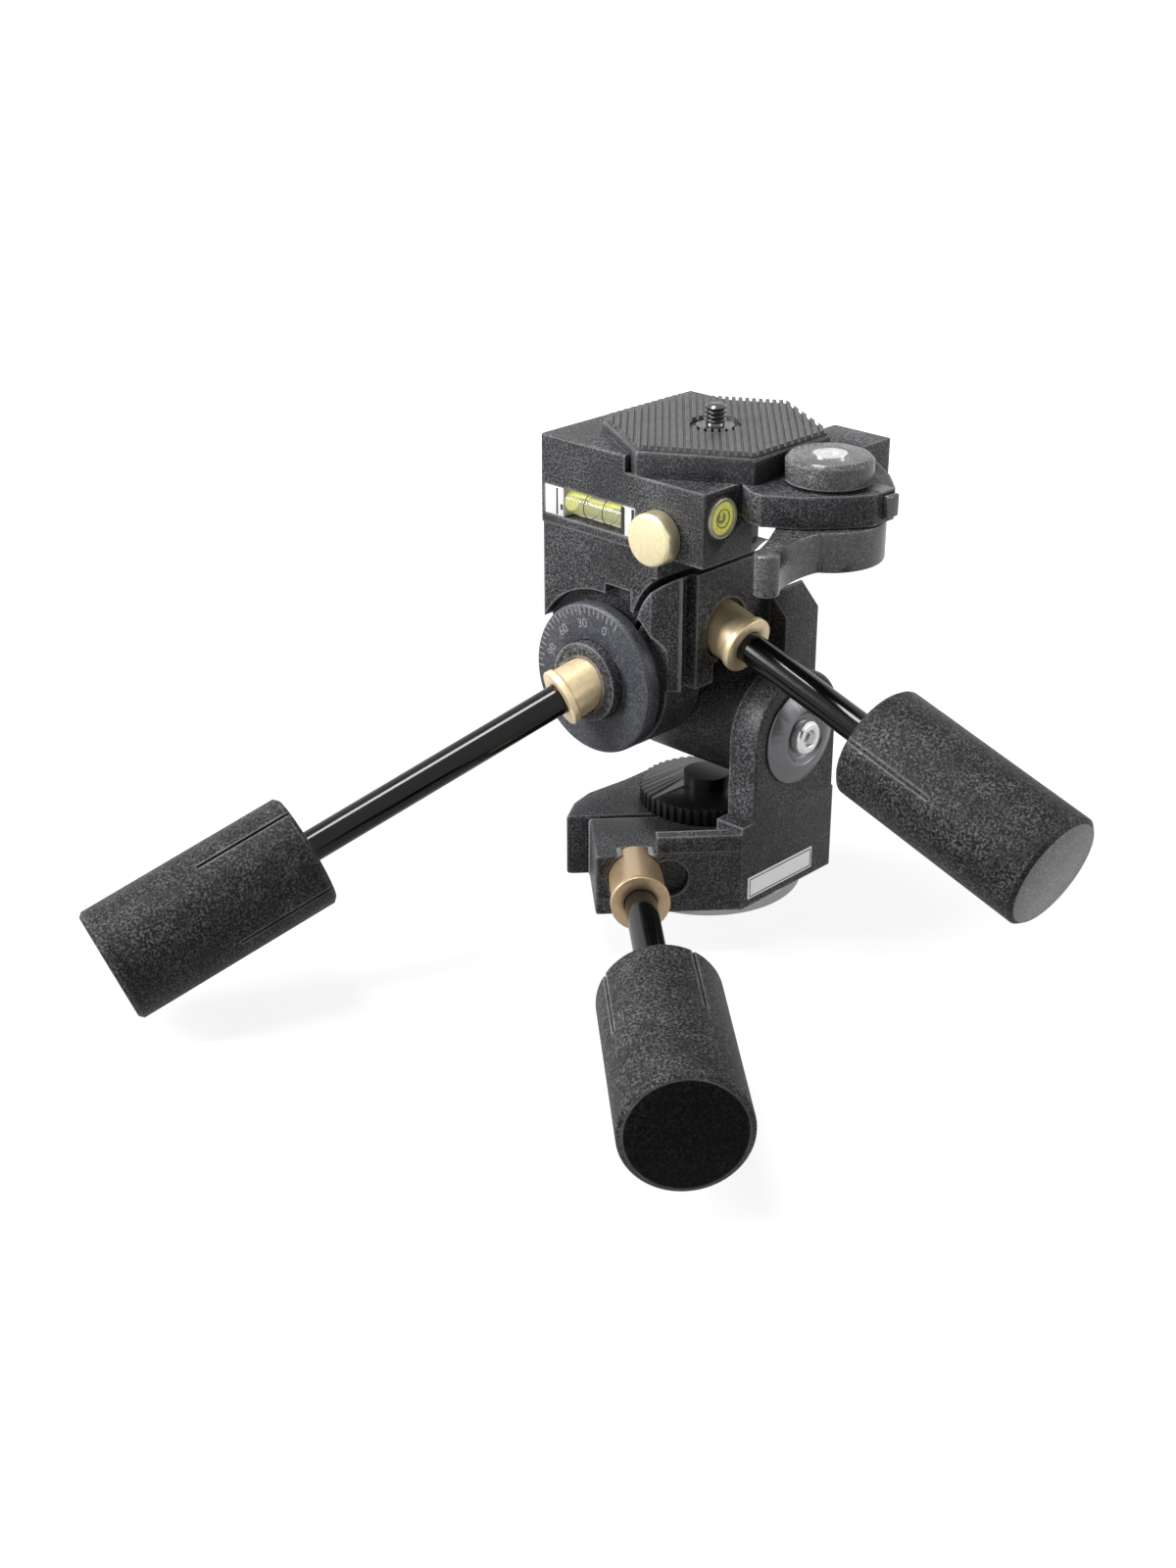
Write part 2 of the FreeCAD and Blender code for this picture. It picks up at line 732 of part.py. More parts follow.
def vial_carrier():
    start = tube_centre()
    length = tube_right - tube_left
    body = vial_pocket(insert_fit)
    body = body.cut(rod(tube_radius, start, X, length))
    return body.cut(box(tube_left, tube_right, deck_front, start.y, vial_bottom, vial_top))


def vial_tube():
    return ring(tube_radius, tube_radius - tube_wall, tube_centre(), X, tube_right - tube_left)


def bubble():
    start = tube_centre() + Vector((tube_right - tube_left - bubble_length) / 2, 0,
                                   tube_radius - tube_wall - bubble_radius / 2)
    return rod(bubble_radius, start, X, bubble_length)


def vial_fluid():
    fill = rod(tube_radius - tube_wall, tube_centre(), X, tube_right - tube_left)
    return fill.cut(bubble())


def vial_bubble():
    fill = rod(tube_radius - tube_wall, tube_centre(), X, tube_right - tube_left)
    return fill.common(bubble())


# ---------------------------------------------------------------- round level
def round_face():
    return Vector(deck_right, round_y, round_z)


def round_cup():
    depth = round_depth + round_proud
    start = round_face() - X * round_depth
    return rod(round_radius, start, X, depth).cut(
        rod(round_radius - round_wall, start + X * round_wall, X, depth - round_wall))


def round_fluid():
    start = round_face() - X * (round_depth - round_wall)
    inner = round_radius - round_wall
    body = rod(inner, start, X, round_depth - round_wall)
    return body.cut(rod(round_bubble_radius, round_face() - X * round_wall, X, round_wall))


def round_bubble():
    return rod(round_bubble_radius, round_face() - X * round_wall, X, round_wall)


def round_window():
    return rod(round_radius - round_wall, round_face(), X, round_window_thickness)


# ================================================================ quick plate
def hex_prism(radius, low, height):
    return prism(hexagon(radius, Vector(0, 0, low), Z, hex_turn), Z * height)


def quick_plate():
    top = deck_top + plate_thickness
    body = hex_prism(hex_radius, deck_top, plate_thickness)
    body = body.makeChamfer(plate_edge, edges_near(body, lambda e: on_plane(e, "z", top)))
    body = body.cut(rod(camera_shank_radius + shaft_fit, Vector(0, 0, deck_top), Z, plate_thickness))
    return body.cut(rod(screw_head_radius + part_gap, Vector(0, 0, deck_top), Z,
                        screw_head_height + shaft_fit))


def plate_pad():
    low = deck_top + plate_thickness
    body = hex_prism(hex_radius - pad_inset, low, pad_thickness)
    return body.cut(rod(pad_hole_radius, Vector(0, 0, low), Z, pad_thickness))


def camera_screw():
    pad_top = plate_thickness + pad_thickness
    body = joined(rod(screw_head_radius, Vector(0, 0, deck_top), Z, screw_head_height),
                  rod(camera_shank_radius, Vector(0, 0, deck_top), Z, pad_top),
                  rod(camera_thread_radius, Vector(0, 0, deck_top + pad_top), Z, camera_thread_reach))
    slot = box(-screw_head_radius, screw_head_radius, -screw_slot_width / 2, screw_slot_width / 2,
               deck_top, deck_top + screw_slot_depth)
    return body.cut(slot)


def screw_clip():
    return ring(screw_clip_radius, camera_shank_radius + shaft_fit, Vector(0, 0, deck_top + plate_thickness),
                Z, screw_clip_thickness)


# ================================================================ quick-release lever
def lever_arm():
    centre = Vector(lever_x, lever_y, lever_bottom)
    height = lever_top - lever_bottom
    hub = rod(lever_hub_radius, centre, Z, height)
    shoulder = rod(lever_shoulder_radius, centre, Z, height).common(
        box(lever_x, lever_x + lever_shoulder_radius, lever_y - lever_shoulder_radius,
            lever_y + lever_hub_radius, lever_bottom, lever_top))
    outer = [centre + Vector(x, y, 0) for x, y in blade_outer]
    inner = [centre + Vector(x, y, 0) for x, y in blade_inner]
    edges = [curve_through(outer), line(outer[-1], inner[0]), curve_through(inner),
             line(inner[-1], centre), line(centre, outer[0])]
    blade = Part.Face(Part.Wire(edges)).extrude(Z * height)
    nose = rod(blade_tip_radius, centre + Vector(blade_tip[0], blade_tip[1], 0), Z, height)
    body = joined(hub, shoulder, blade, nose)
    shaft = rod(lever_shaft_radius, Vector(lever_x, lever_y, lever_top), Z, lever_cap_bottom - lever_top)
    body = joined(body, shaft)
    bolt_low = lever_cap_top - lever_bolt_length
    return body.cut(rod(lever_bolt_radius, Vector(lever_x, lever_y, bolt_low), Z, lever_bolt_length))


def lever_cap():
    low = Vector(lever_x, lever_y, lever_cap_bottom)
    height = lever_cap_top - lever_cap_bottom
    body = rod(lever_cap_radius, low, Z, height)
    body = body.makeChamfer(lever_cap_edge, edges_near(body, lambda e: on_plane(e, "z", lever_cap_top)))
    far = lever_y + lever_cap_radius
    body = body.cut(box(lever_x - lever_cap_radius, lever_x + lever_cap_radius, far - cam_flat, far,
                        lever_cap_bottom, lever_cap_top))
    body = body.cut(rod(lever_bolt_head_radius + insert_fit,
                        Vector(lever_x, lever_y, lever_cap_top - lever_bolt_recess), Z, lever_bolt_recess))
    return body.cut(rod(lever_bolt_radius, low, Z, height))


def lever_bolt():
    seat = lever_cap_top - lever_bolt_recess
    head = rod(lever_bolt_head_radius, Vector(lever_x, lever_y, seat), Z, lever_bolt_head_height)
    top = seat + lever_bolt_head_height
    low = lever_cap_top - lever_bolt_length
    shank = rod(lever_bolt_radius, Vector(lever_x, lever_y, low), Z, seat - low)
    socket = prism(hexagon(lever_bolt_radius, Vector(lever_x, lever_y, top), Z), -Z * lever_bolt_head_height)
    return joined(head, shank).cut(socket)


def lever_washer():
    return ring(lever_washer_radius, lever_shaft_radius + shaft_fit,
                Vector(lever_x, lever_y, deck_top), Z, lever_cap_bottom - deck_top)


# ================================================================ lock knob and catch
def lock_knob():
    front = deck_front - part_gap - knob_length
    body = rod(knob_radius, Vector(knob_x, front, knob_z), Y, knob_length)
    body = body.makeChamfer(knob_edge, edges_near(body, lambda e: on_plane(e, "y", front)))
    return joined(body, rod(knob_shaft_radius, Vector(knob_x, front, knob_z), Y,
                            knob_length + part_gap + knob_shaft_length))


def catch_button():
    return box(shelf_right - catch_depth, shelf_right + catch_reach, catch_y, catch_y + catch_width,
               catch_z, catch_z + catch_height)


def catch_spring():
    length = catch_reach - 2 * catch_spring_wire
    start = Vector(shelf_right - catch_depth - catch_reach + catch_spring_wire,
                   catch_y + catch_width / 2, catch_z + catch_height / 2)
    return coil(catch_spring_radius, catch_spring_wire, catch_spring_turns, length, start, X)


# ================================================================ handles
def handle_collar(root, direction, length):
    start = root - direction * collar_sink
    body = rod(collar_radius, start, direction, collar_sink + length)
    lip = rod(collar_lip_radius, root + direction * (length - collar_lip_length), direction,
              collar_lip_length)
    return joined(body, lip).cut(rod(rod_radius, start, direction, collar_sink + length))


def handle_rod(root, direction, reach):
    start = root - direction * collar_sink
    return rod(rod_radius, start, direction, collar_sink + reach + grip_bore)


def handle_stud(root, direction, length):
    return rod(stud_radius, root - direction * length, direction, length - collar_sink)


def handle_grip(root, direction, reach, turn):
    start = root + direction * reach
    end = start + direction * grip_length
    body = rod(grip_radius, start, direction, grip_length)
    body = body.makeChamfer(grip_edge, edges_near(body, lambda e: e.Closed))
    body = body.cut(rod(rod_radius, start, direction, grip_bore))
    body = body.cut(rod(grip_cap_radius, end, -direction, grip_cap_thickness))
    across = direction.cross(Z).normalize()
    up = across.cross(direction)
    half = grip_groove_width / 2
    for k in range(grip_groove_count):
        a = 2 * math.pi * k / grip_groove_count + math.radians(turn)
        outward = across * math.cos(a) + up * math.sin(a)
        along = outward.cross(direction) * half
        floor = start + outward * (grip_radius - grip_groove_depth)
        top = outward * (2 * grip_groove_depth)
        groove = prism([floor - along, floor + along, floor + along + top, floor - along + top],
                       direction * grip_groove_length)
        body = body.cut(groove)
    return body


def handle_cap(root, direction, reach):
    end = root + direction * (reach + grip_length)
    return rod(grip_cap_radius, end, -direction, grip_cap_thickness)


handles = {
    "pan": (pan_root, d_dir, pan_handle_reach, pan_collar_length, pan_stud_length, pan_grip_turn),
    "front_tilt": (front_root, front_dir, front_handle_reach, front_collar_length, front_stud_length,
                   front_grip_turn),
    "side_tilt": (side_root, side_dir, side_handle_reach, side_collar_length, side_stud_length,
                  side_grip_turn),
}


def build():
    nodes = {
        "base_disc": base_disc(), "thread_bush": thread_bush(), "base_screws": base_screws(),
        "pan_spindle": pan_spindle(), "pan_scale_ring": scale_ring(), "scale_ring_bolt": ring_bolt(),
        "pan_casting": pan_casting(), "base_washer": thrust_washer(), "label_plate": label_plate(),
        "tilt_axle": tilt_axle(), "axle_cap": axle_cap(), "axle_bolt": axle_bolt(),
        "balance_spring": balance_spring(),
        "tilt_casting": tilt_casting(), "brake_plug": brake_plug(), "axle_end_cover": end_cover(),
        "scale_disc": scale_disc(), "drum_washer": drum_washer(),
        "platform_casting": platform_casting(),
        "vial_carrier": vial_carrier(), "vial_tube": vial_tube(), "vial_fluid": vial_fluid(),
        "vial_bubble": vial_bubble(), "round_level_cup": round_cup(), "round_level_fluid": round_fluid(),
        "round_level_bubble": round_bubble(), "round_level_window": round_window(),
        "quick_plate": quick_plate(), "plate_pad": plate_pad(), "camera_screw": camera_screw(),
        "screw_clip": screw_clip(),
        "lever_arm": lever_arm(), "lever_cap": lever_cap(), "lever_bolt": lever_bolt(),
        "lever_washer": lever_washer(), "lock_knob": lock_knob(), "catch_button": catch_button(),
        "catch_spring": catch_spring(),
    }
    for name, (root, direction, reach, collar_length, stud_length, turn) in handles.items():
        nodes[name + "_collar"] = handle_collar(root, direction, collar_length)
        nodes[name + "_rod"] = handle_rod(root, direction, reach)
        nodes[name + "_stud"] = handle_stud(root, direction, stud_length)
        nodes[name + "_grip"] = handle_grip(root, direction, reach, turn)
        nodes[name + "_grip_cap"] = handle_cap(root, direction, reach)
    return nodes


os.makedirs("parts", exist_ok=True)
for node, shape in build().items():
    print(node, "solids", len(shape.Solids), "valid", shape.isValid(), "volume", round(shape.Volume, 1))
    shape.exportStep("parts/" + node + ".step")
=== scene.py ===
import bpy
import json
import math
from mathutils import Matrix, Vector


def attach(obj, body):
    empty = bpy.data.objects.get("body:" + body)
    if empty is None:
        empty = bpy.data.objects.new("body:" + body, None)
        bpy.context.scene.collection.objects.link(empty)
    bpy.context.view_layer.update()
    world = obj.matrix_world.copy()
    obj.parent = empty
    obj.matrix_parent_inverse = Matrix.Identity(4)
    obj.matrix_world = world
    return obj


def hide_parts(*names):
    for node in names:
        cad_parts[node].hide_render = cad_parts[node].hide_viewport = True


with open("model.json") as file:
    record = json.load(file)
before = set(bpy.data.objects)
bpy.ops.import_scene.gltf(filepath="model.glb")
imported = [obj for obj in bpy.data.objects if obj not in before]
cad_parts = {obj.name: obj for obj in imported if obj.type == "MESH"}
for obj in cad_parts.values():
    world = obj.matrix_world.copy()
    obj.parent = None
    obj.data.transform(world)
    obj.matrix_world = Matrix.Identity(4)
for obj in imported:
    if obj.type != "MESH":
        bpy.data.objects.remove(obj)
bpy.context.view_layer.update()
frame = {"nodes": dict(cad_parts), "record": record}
nodes = frame["nodes"]
bodyOf = {n: b for b, members in frame["record"]["behaviour"]["bodies"].items() for n in members}
mm = 0.001

# side tilt axis and the front face of its disc
tiltAxis = {"x": -15.0, "z": 71.5, "face": -35.5}
# points of a solid closer than the weld become one, and faces flatter than this angle are joined
meshValues = {"weld": 0.01, "flat": 0.4}
print("frame loaded,", len(nodes), "solids")


# small helpers
def clearSelection():
    if bpy.context.object and bpy.context.object.mode != "OBJECT":
        bpy.ops.object.mode_set(mode="OBJECT")
    bpy.ops.object.select_all(action="DESELECT")


def take(piece):
    clearSelection()
    piece.select_set(True)
    bpy.context.view_layer.objects.active = piece


def settle(piece):  # place, turn and size go into the mesh
    take(piece)
    bpy.ops.object.transform_apply(location=True, rotation=True, scale=True)


def addModifier(piece, kind, **values):
    take(piece)
    mod = piece.modifiers.new(kind.lower(), kind)
    for key, value in values.items():
        setattr(mod, key, value)
    bpy.ops.object.modifier_apply(modifier=mod.name)


def roundEdges(piece, width, segments=2, angle=32):
    addModifier(piece, "BEVEL", width=width * mm, segments=segments, limit_method="ANGLE",
                angle_limit=math.radians(angle), use_clamp_overlap=True, harden_normals=False)


def smooth(piece, angle=35):
    take(piece)
    bpy.ops.object.shade_smooth_by_angle(angle=math.radians(angle))


def paint(piece, material):
    piece.data.materials.clear()
    piece.data.materials.append(material)


def finishPiece(piece, name, material, body, replaced=()):
    piece.name = name
    piece.data.name = name
    paint(piece, material)
    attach(piece, body)
    if replaced:
        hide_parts(*replaced)
    return piece


def joinAll(pieces):
    clearSelection()
    for piece in pieces:
        piece.select_set(True)
    bpy.context.view_layer.objects.active = pieces[0]
    bpy.ops.object.join()
    return bpy.context.object


def dressedCopy(node, name, material, width):
    source = nodes[node]
    piece = source.copy()
    piece.data = source.data.copy()
    piece.parent = None
    for key in list(piece.keys()):  # the copy isn't a solid's node any more
        if key.startswith("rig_"):
            del piece[key]
    bpy.context.scene.collection.objects.link(piece)
    take(piece)
    bpy.ops.object.mode_set(mode="EDIT")
    bpy.ops.mesh.select_all(action="SELECT")
    bpy.ops.mesh.remove_doubles(threshold=meshValues["weld"] * mm)
    bpy.ops.mesh.dissolve_limited(angle_limit=math.radians(meshValues["flat"]))
    bpy.ops.object.mode_set(mode="OBJECT")
    roundEdges(piece, width)
    smooth(piece)
    return finishPiece(piece, name, material, bodyOf[node], [node])


# shader groups
def newGroup(name, inputs, outputs):
    group = bpy.data.node_groups.new(name, "ShaderNodeTree")
    for label, kind, value in inputs:
        socket = group.interface.new_socket(name=label, in_out="INPUT", socket_type=kind)
        socket.default_value = value
    for label, kind in outputs:
        group.interface.new_socket(name=label, in_out="OUTPUT", socket_type=kind)
    start = group.nodes.new("NodeGroupInput")
    end = group.nodes.new("NodeGroupOutput")
    return group, start, end


def rangeNode(tree, source, fromLow, fromHigh, toLow=0.0, toHigh=1.0):
    node = tree.nodes.new("ShaderNodeMapRange")
    node.inputs["From Min"].default_value = fromLow
    node.inputs["From Max"].default_value = fromHigh
    node.inputs["To Min"].default_value = toLow
    node.inputs["To Max"].default_value = toHigh
    tree.links.new(source, node.inputs["Value"])
    return node.outputs["Result"]


def mathNode(tree, operation, *sources):  # a source is a socket to link or a number to set
    node = tree.nodes.new("ShaderNodeMath")
    node.operation = operation
    for socket, source in zip(node.inputs, sources):
        if isinstance(source, float):
            socket.default_value = source
        else:
            tree.links.new(source, socket)
    return node.outputs[0]


def mixNode(tree, factor, first, second):
    node = tree.nodes.new("ShaderNodeMix")
    node.data_type = "RGBA"
    tree.links.new(factor, node.inputs["Factor"])
    tree.links.new(first, node.inputs["A"])
    tree.links.new(second, node.inputs["B"])
    return node.outputs["Result"]


# edge reach, edge rays and the range after them shape the painted highlight along outer edges
grainValues = {"fineDetail": 4, "broadDetail": 3, "cloud": (0.3, 0.75, 0.3), "patches": (0.25, 0.6, 0.45),
               "edgeReach": 0.9, "edgeRays": 6, "edgeHighlight": (0.92, 0.55), "middle": 0.5, "fineRelief": 0.6}


def makeCastGrain(v):
    group, start, end = newGroup("castGrain", [
        ("Color", "NodeSocketColor", (0.05, 0.05, 0.05, 1)),
        ("Light Color", "NodeSocketColor", (0.12, 0.12, 0.12, 1)),
        ("Roughness", "NodeSocketFloat", 0.5), ("Roughness Spread", "NodeSocketFloat", 0.15),
        ("Fine Scale", "NodeSocketFloat", 1800.0), ("Broad Scale", "NodeSocketFloat", 60.0),
        ("Speck Low", "NodeSocketFloat", 0.44), ("Speck High", "NodeSocketFloat", 0.68),
        ("Edge Highlight Color", "NodeSocketColor", (0.3, 0.3, 0.3, 1)), ("Edge Highlight Amount", "NodeSocketFloat", 0.0)],
        [("Color", "NodeSocketColor"), ("Roughness", "NodeSocketFloat"), ("Height", "NodeSocketFloat")])
    new, link = group.nodes.new, group.links.new
    coords = new("ShaderNodeTexCoord")
    fine = new("ShaderNodeTexNoise")
    fine.inputs["Detail"].default_value = v["fineDetail"]
    broad = new("ShaderNodeTexNoise")
    broad.inputs["Detail"].default_value = v["broadDetail"]
    pits = new("ShaderNodeTexVoronoi")
    for texture, scale in ((fine, "Fine Scale"), (broad, "Broad Scale"), (pits, "Fine Scale")):
        link(coords.outputs["Object"], texture.inputs["Vector"])
        link(start.outputs[scale], texture.inputs["Scale"])
    # speckle: where fine and broad noise are both high the coat looks lighter
    speck = new("ShaderNodeMapRange")
    link(start.outputs["Speck Low"], speck.inputs["From Min"])
    link(start.outputs["Speck High"], speck.inputs["From Max"])
    link(fine.outputs["Fac"], speck.inputs["Value"])
    cloud = rangeNode(group, broad.outputs["Fac"], *v["cloud"])
    amount = mathNode(group, "MULTIPLY", speck.outputs["Result"], cloud)
    mixed = mixNode(group, amount, start.outputs["Color"], start.outputs["Light Color"])
    # painted highlight along outer edges, broken into patches: short rays sent into the solid meet its other
    # side there
    edge = new("ShaderNodeAmbientOcclusion")
    edge.inside = True
    edge.only_local = True
    edge.samples = v["edgeRays"]
    edge.inputs["Distance"].default_value = v["edgeReach"] * mm
    edgeHighlight = rangeNode(group, edge.outputs["AO"], *v["edgeHighlight"])
    patches = rangeNode(group, broad.outputs["Fac"], *v["patches"])
    patchyEdgeHighlight = mathNode(group, "MULTIPLY", edgeHighlight, patches)
    share = mathNode(group, "MULTIPLY", patchyEdgeHighlight, start.outputs["Edge Highlight Amount"])
    edgeHighlighted = mixNode(group, share, mixed, start.outputs["Edge Highlight Color"])
    link(edgeHighlighted, end.inputs["Color"])
    shift = mathNode(group, "SUBTRACT", broad.outputs["Fac"], v["middle"])
    gloss = mathNode(group, "MULTIPLY_ADD", shift, start.outputs["Roughness Spread"],
                     start.outputs["Roughness"])
    link(gloss, end.inputs["Roughness"])
    height = mathNode(group, "MULTIPLY_ADD", pits.outputs["Distance"], v["fineRelief"], fine.outputs["Fac"])
    link(height, end.inputs["Height"])
    return group


metalValues = {"detail": 2, "tone": (0.0, 1.0, 0.82, 1.12)}


def makeTurnedMetal(v):
    group, start, end = newGroup("turnedMetal", [
        ("Color", "NodeSocketColor", (0.6, 0.6, 0.6, 1)), ("Roughness", "NodeSocketFloat", 0.3),
        ("Line Scale", "NodeSocketFloat", 900.0), ("Stretch", "NodeSocketVector", (1, 1, 1))],
        [("Color", "NodeSocketColor"), ("Roughness", "NodeSocketFloat"), ("Height", "NodeSocketFloat")])
    new, link = group.nodes.new, group.links.new
    coords = new("ShaderNodeTexCoord")
    stretch = new("ShaderNodeVectorMath")
    stretch.operation = "MULTIPLY"
    link(coords.outputs["Object"], stretch.inputs[0])
    link(start.outputs["Stretch"], stretch.inputs[1])
    lines = new("ShaderNodeTexNoise")
    lines.inputs["Detail"].default_value = v["detail"]
    link(stretch.outputs[0], lines.inputs["Vector"])
    link(start.outputs["Line Scale"], lines.inputs["Scale"])
    tone = rangeNode(group, lines.outputs["Fac"], *v["tone"])
    scaled = new("ShaderNodeVectorMath")
    scaled.operation = "SCALE"
    link(start.outputs["Color"], scaled.inputs[0])
    link(tone, scaled.inputs["Scale"])
    link(scaled.outputs[0], end.inputs["Color"])
    link(mathNode(group, "MULTIPLY", tone, start.outputs["Roughness"]), end.inputs["Roughness"])
    link(lines.outputs["Fac"], end.inputs["Height"])
    return group


castGrain = makeCastGrain(grainValues)
turnedMetal = makeTurnedMetal(metalValues)
print("shader groups made")


# materials
def newMaterial(name):
    material = bpy.data.materials.new(name)
    material.use_nodes = True
    return material, material.node_tree, material.node_tree.nodes["Principled BSDF"]


def groupedMaterial(name, group, values, bump, distance, shader):
    material, tree, bsdf = newMaterial(name)
    grain = tree.nodes.new("ShaderNodeGroup")
    grain.node_tree = group
    for key, value in values.items():
        grain.inputs[key].default_value = value
    tree.links.new(grain.outputs["Color"], bsdf.inputs["Base Color"])
    tree.links.new(grain.outputs["Roughness"], bsdf.inputs["Roughness"])
    relief = tree.nodes.new("ShaderNodeBump")
    relief.inputs["Strength"].default_value = bump
    relief.inputs["Distance"].default_value = distance
    tree.links.new(grain.outputs["Height"], relief.inputs["Height"])
    tree.links.new(relief.outputs["Normal"], bsdf.inputs["Normal"])
    for key, value in shader.items():
        bsdf.inputs[key].default_value = value
    return material


# finishes that set an edge colour and amount get a painted highlight along their outer edges
castPaint = groupedMaterial("castPaint", castGrain, {
    "Color": (0.012, 0.0122, 0.0137, 1), "Light Color": (0.24, 0.243, 0.258, 1),
    "Roughness": 0.42, "Roughness Spread": 0.3, "Fine Scale": 1650.0, "Broad Scale": 75.0,
    "Edge Highlight Color": (0.38, 0.38, 0.4, 1), "Edge Highlight Amount": 0.7},
    bump=0.6, distance=0.00012, shader={"Specular IOR Level": 0.25})
discPaint = groupedMaterial("discPaint", castGrain, {
    "Color": (0.04, 0.042, 0.05, 1), "Light Color": (0.16, 0.165, 0.188, 1),
    "Roughness": 0.4, "Roughness Spread": 0.2, "Fine Scale": 1700.0, "Broad Scale": 90.0,
    "Edge Highlight Color": (0.4, 0.4, 0.43, 1), "Edge Highlight Amount": 0.6},
    bump=0.5, distance=0.0001, shader={"Specular IOR Level": 0.3})
plateShell = groupedMaterial("plateShell", castGrain, {
    "Color": (0.022, 0.0225, 0.025, 1), "Light Color": (0.2, 0.202, 0.212, 1),
    "Roughness": 0.38, "Roughness Spread": 0.2, "Fine Scale": 1800.0, "Broad Scale": 90.0,
    "Edge Highlight Color": (0.36, 0.36, 0.37, 1), "Edge Highlight Amount": 0.8},
    bump=0.4, distance=0.0001, shader={"Specular IOR Level": 0.3})
ribbedRubber = groupedMaterial("ribbedRubber", castGrain, {
    "Color": (0.012, 0.012, 0.0125, 1), "Light Color": (0.16, 0.16, 0.165, 1),
    "Roughness": 0.5, "Roughness Spread": 0.3, "Fine Scale": 1400.0, "Broad Scale": 260.0,
    "Edge Highlight Color": (0.3, 0.3, 0.31, 1), "Edge Highlight Amount": 0.4},
    bump=0.5, distance=0.0001, shader={"Specular IOR Level": 0.35})
gripCoat = groupedMaterial("gripCoat", castGrain, {
    "Color": (0.004, 0.004, 0.0045, 1), "Light Color": (0.19, 0.19, 0.196, 1),
    "Speck Low": 0.44, "Speck High": 0.72,
    "Roughness": 0.5, "Roughness Spread": 0.2, "Fine Scale": 1450.0, "Broad Scale": 140.0,
    "Edge Highlight Color": (0.45, 0.45, 0.46, 1), "Edge Highlight Amount": 0.45},
    bump=0.9, distance=0.00016, shader={"Specular IOR Level": 0.16})
# near-black, hardly reflecting copy of the grip end finish for the pan and front tilt ends: painted shade
shadedGripEndFace = groupedMaterial("shadedGripEndFace", castGrain, {
    "Color": (0.002, 0.002, 0.0022, 1), "Light Color": (0.03, 0.03, 0.031, 1),
    "Roughness": 0.5, "Roughness Spread": 0.15, "Fine Scale": 1300.0, "Broad Scale": 200.0,
    "Edge Highlight Color": (0.5, 0.5, 0.51, 1), "Edge Highlight Amount": 0.8},
    bump=0.4, distance=0.0001, shader={"Specular IOR Level": 0.06})
# pale copy of the grip end finish for the side tilt end: painted light where that end catches the lamps
litGripEndFace = groupedMaterial("litGripEndFace", castGrain, {
    "Color": (0.12, 0.12, 0.122, 1), "Light Color": (0.5, 0.5, 0.505, 1),
    "Roughness": 0.34, "Roughness Spread": 0.15, "Fine Scale": 1900.0, "Broad Scale": 200.0},
    bump=0.4, distance=0.0001, shader={"Specular IOR Level": 0.5})
leverPlastic = groupedMaterial("leverPlastic", castGrain, {
    "Color": (0.03, 0.03, 0.032, 1), "Light Color": (0.24, 0.24, 0.25, 1),
    "Roughness": 0.2, "Roughness Spread": 0.2, "Fine Scale": 1600.0, "Broad Scale": 120.0,
    "Edge Highlight Color": (0.4, 0.4, 0.41, 1), "Edge Highlight Amount": 0.5},
    bump=0.35, distance=0.0001, shader={"Specular IOR Level": 0.7})
capPaint = groupedMaterial("capPaint", castGrain, {
    "Color": (0.05, 0.05, 0.052, 1), "Light Color": (0.36, 0.36, 0.37, 1),
    "Roughness": 0.26, "Roughness Spread": 0.2, "Fine Scale": 1700.0, "Broad Scale": 150.0,
    "Edge Highlight Color": (0.55, 0.55, 0.56, 1), "Edge Highlight Amount": 0.8},
    bump=0.3, distance=0.0001, shader={"Specular IOR Level": 0.5})
axleCapMetal = groupedMaterial("axleCapMetal", turnedMetal, {
    "Color": (0.2, 0.2, 0.21, 1), "Roughness": 0.36, "Line Scale": 800.0, "Stretch": (4, 1, 1)},
    bump=0.15, distance=0.0001, shader={"Metallic": 0.7})
champagneMetal = groupedMaterial("champagneMetal", turnedMetal, {
    "Color": (1.0, 0.8, 0.5, 1), "Roughness": 0.38, "Line Scale": 700.0, "Stretch": (1, 1, 1)},
    bump=0.12, distance=0.0001, shader={"Metallic": 0.5})
knobMetal = groupedMaterial("knobMetal", turnedMetal, {
    "Color": (0.95, 0.84, 0.54, 1), "Roughness": 0.38, "Line Scale": 800.0, "Stretch": (1, 6, 1)},
    bump=0.12, distance=0.0001, shader={"Metallic": 0.85})
bronzeMetal = groupedMaterial("bronzeMetal", turnedMetal, {
    "Color": (0.58, 0.42, 0.25, 1), "Roughness": 0.36, "Line Scale": 700.0, "Stretch": (1, 1, 1)},
    bump=0.12, distance=0.0001, shader={"Metallic": 0.65})
brightSteel = groupedMaterial("brightSteel", turnedMetal, {
    "Color": (0.82, 0.82, 0.83, 1), "Roughness": 0.25, "Line Scale": 900.0, "Stretch": (1, 1, 4)},
    bump=0.1, distance=0.0001, shader={"Metallic": 1.0})
screwSteel = groupedMaterial("screwSteel", turnedMetal, {
    "Color": (0.13, 0.13, 0.135, 1), "Roughness": 0.24, "Line Scale": 900.0, "Stretch": (1, 1, 4)},
    bump=0.1, distance=0.0001, shader={"Metallic": 1.0})
satinAlloy = groupedMaterial("satinAlloy", turnedMetal, {
    "Color": (0.4, 0.41, 0.42, 1), "Roughness": 0.34, "Line Scale": 600.0, "Stretch": (1, 1, 8)},
    bump=0.12, distance=0.0001, shader={"Metallic": 0.9})
blackAlloy = groupedMaterial("blackAlloy", turnedMetal, {
    "Color": (0.018, 0.018, 0.02, 1), "Roughness": 0.32, "Line Scale": 800.0, "Stretch": (1, 1, 3)},
    bump=0.15, distance=0.0001, shader={"Metallic": 0.4})
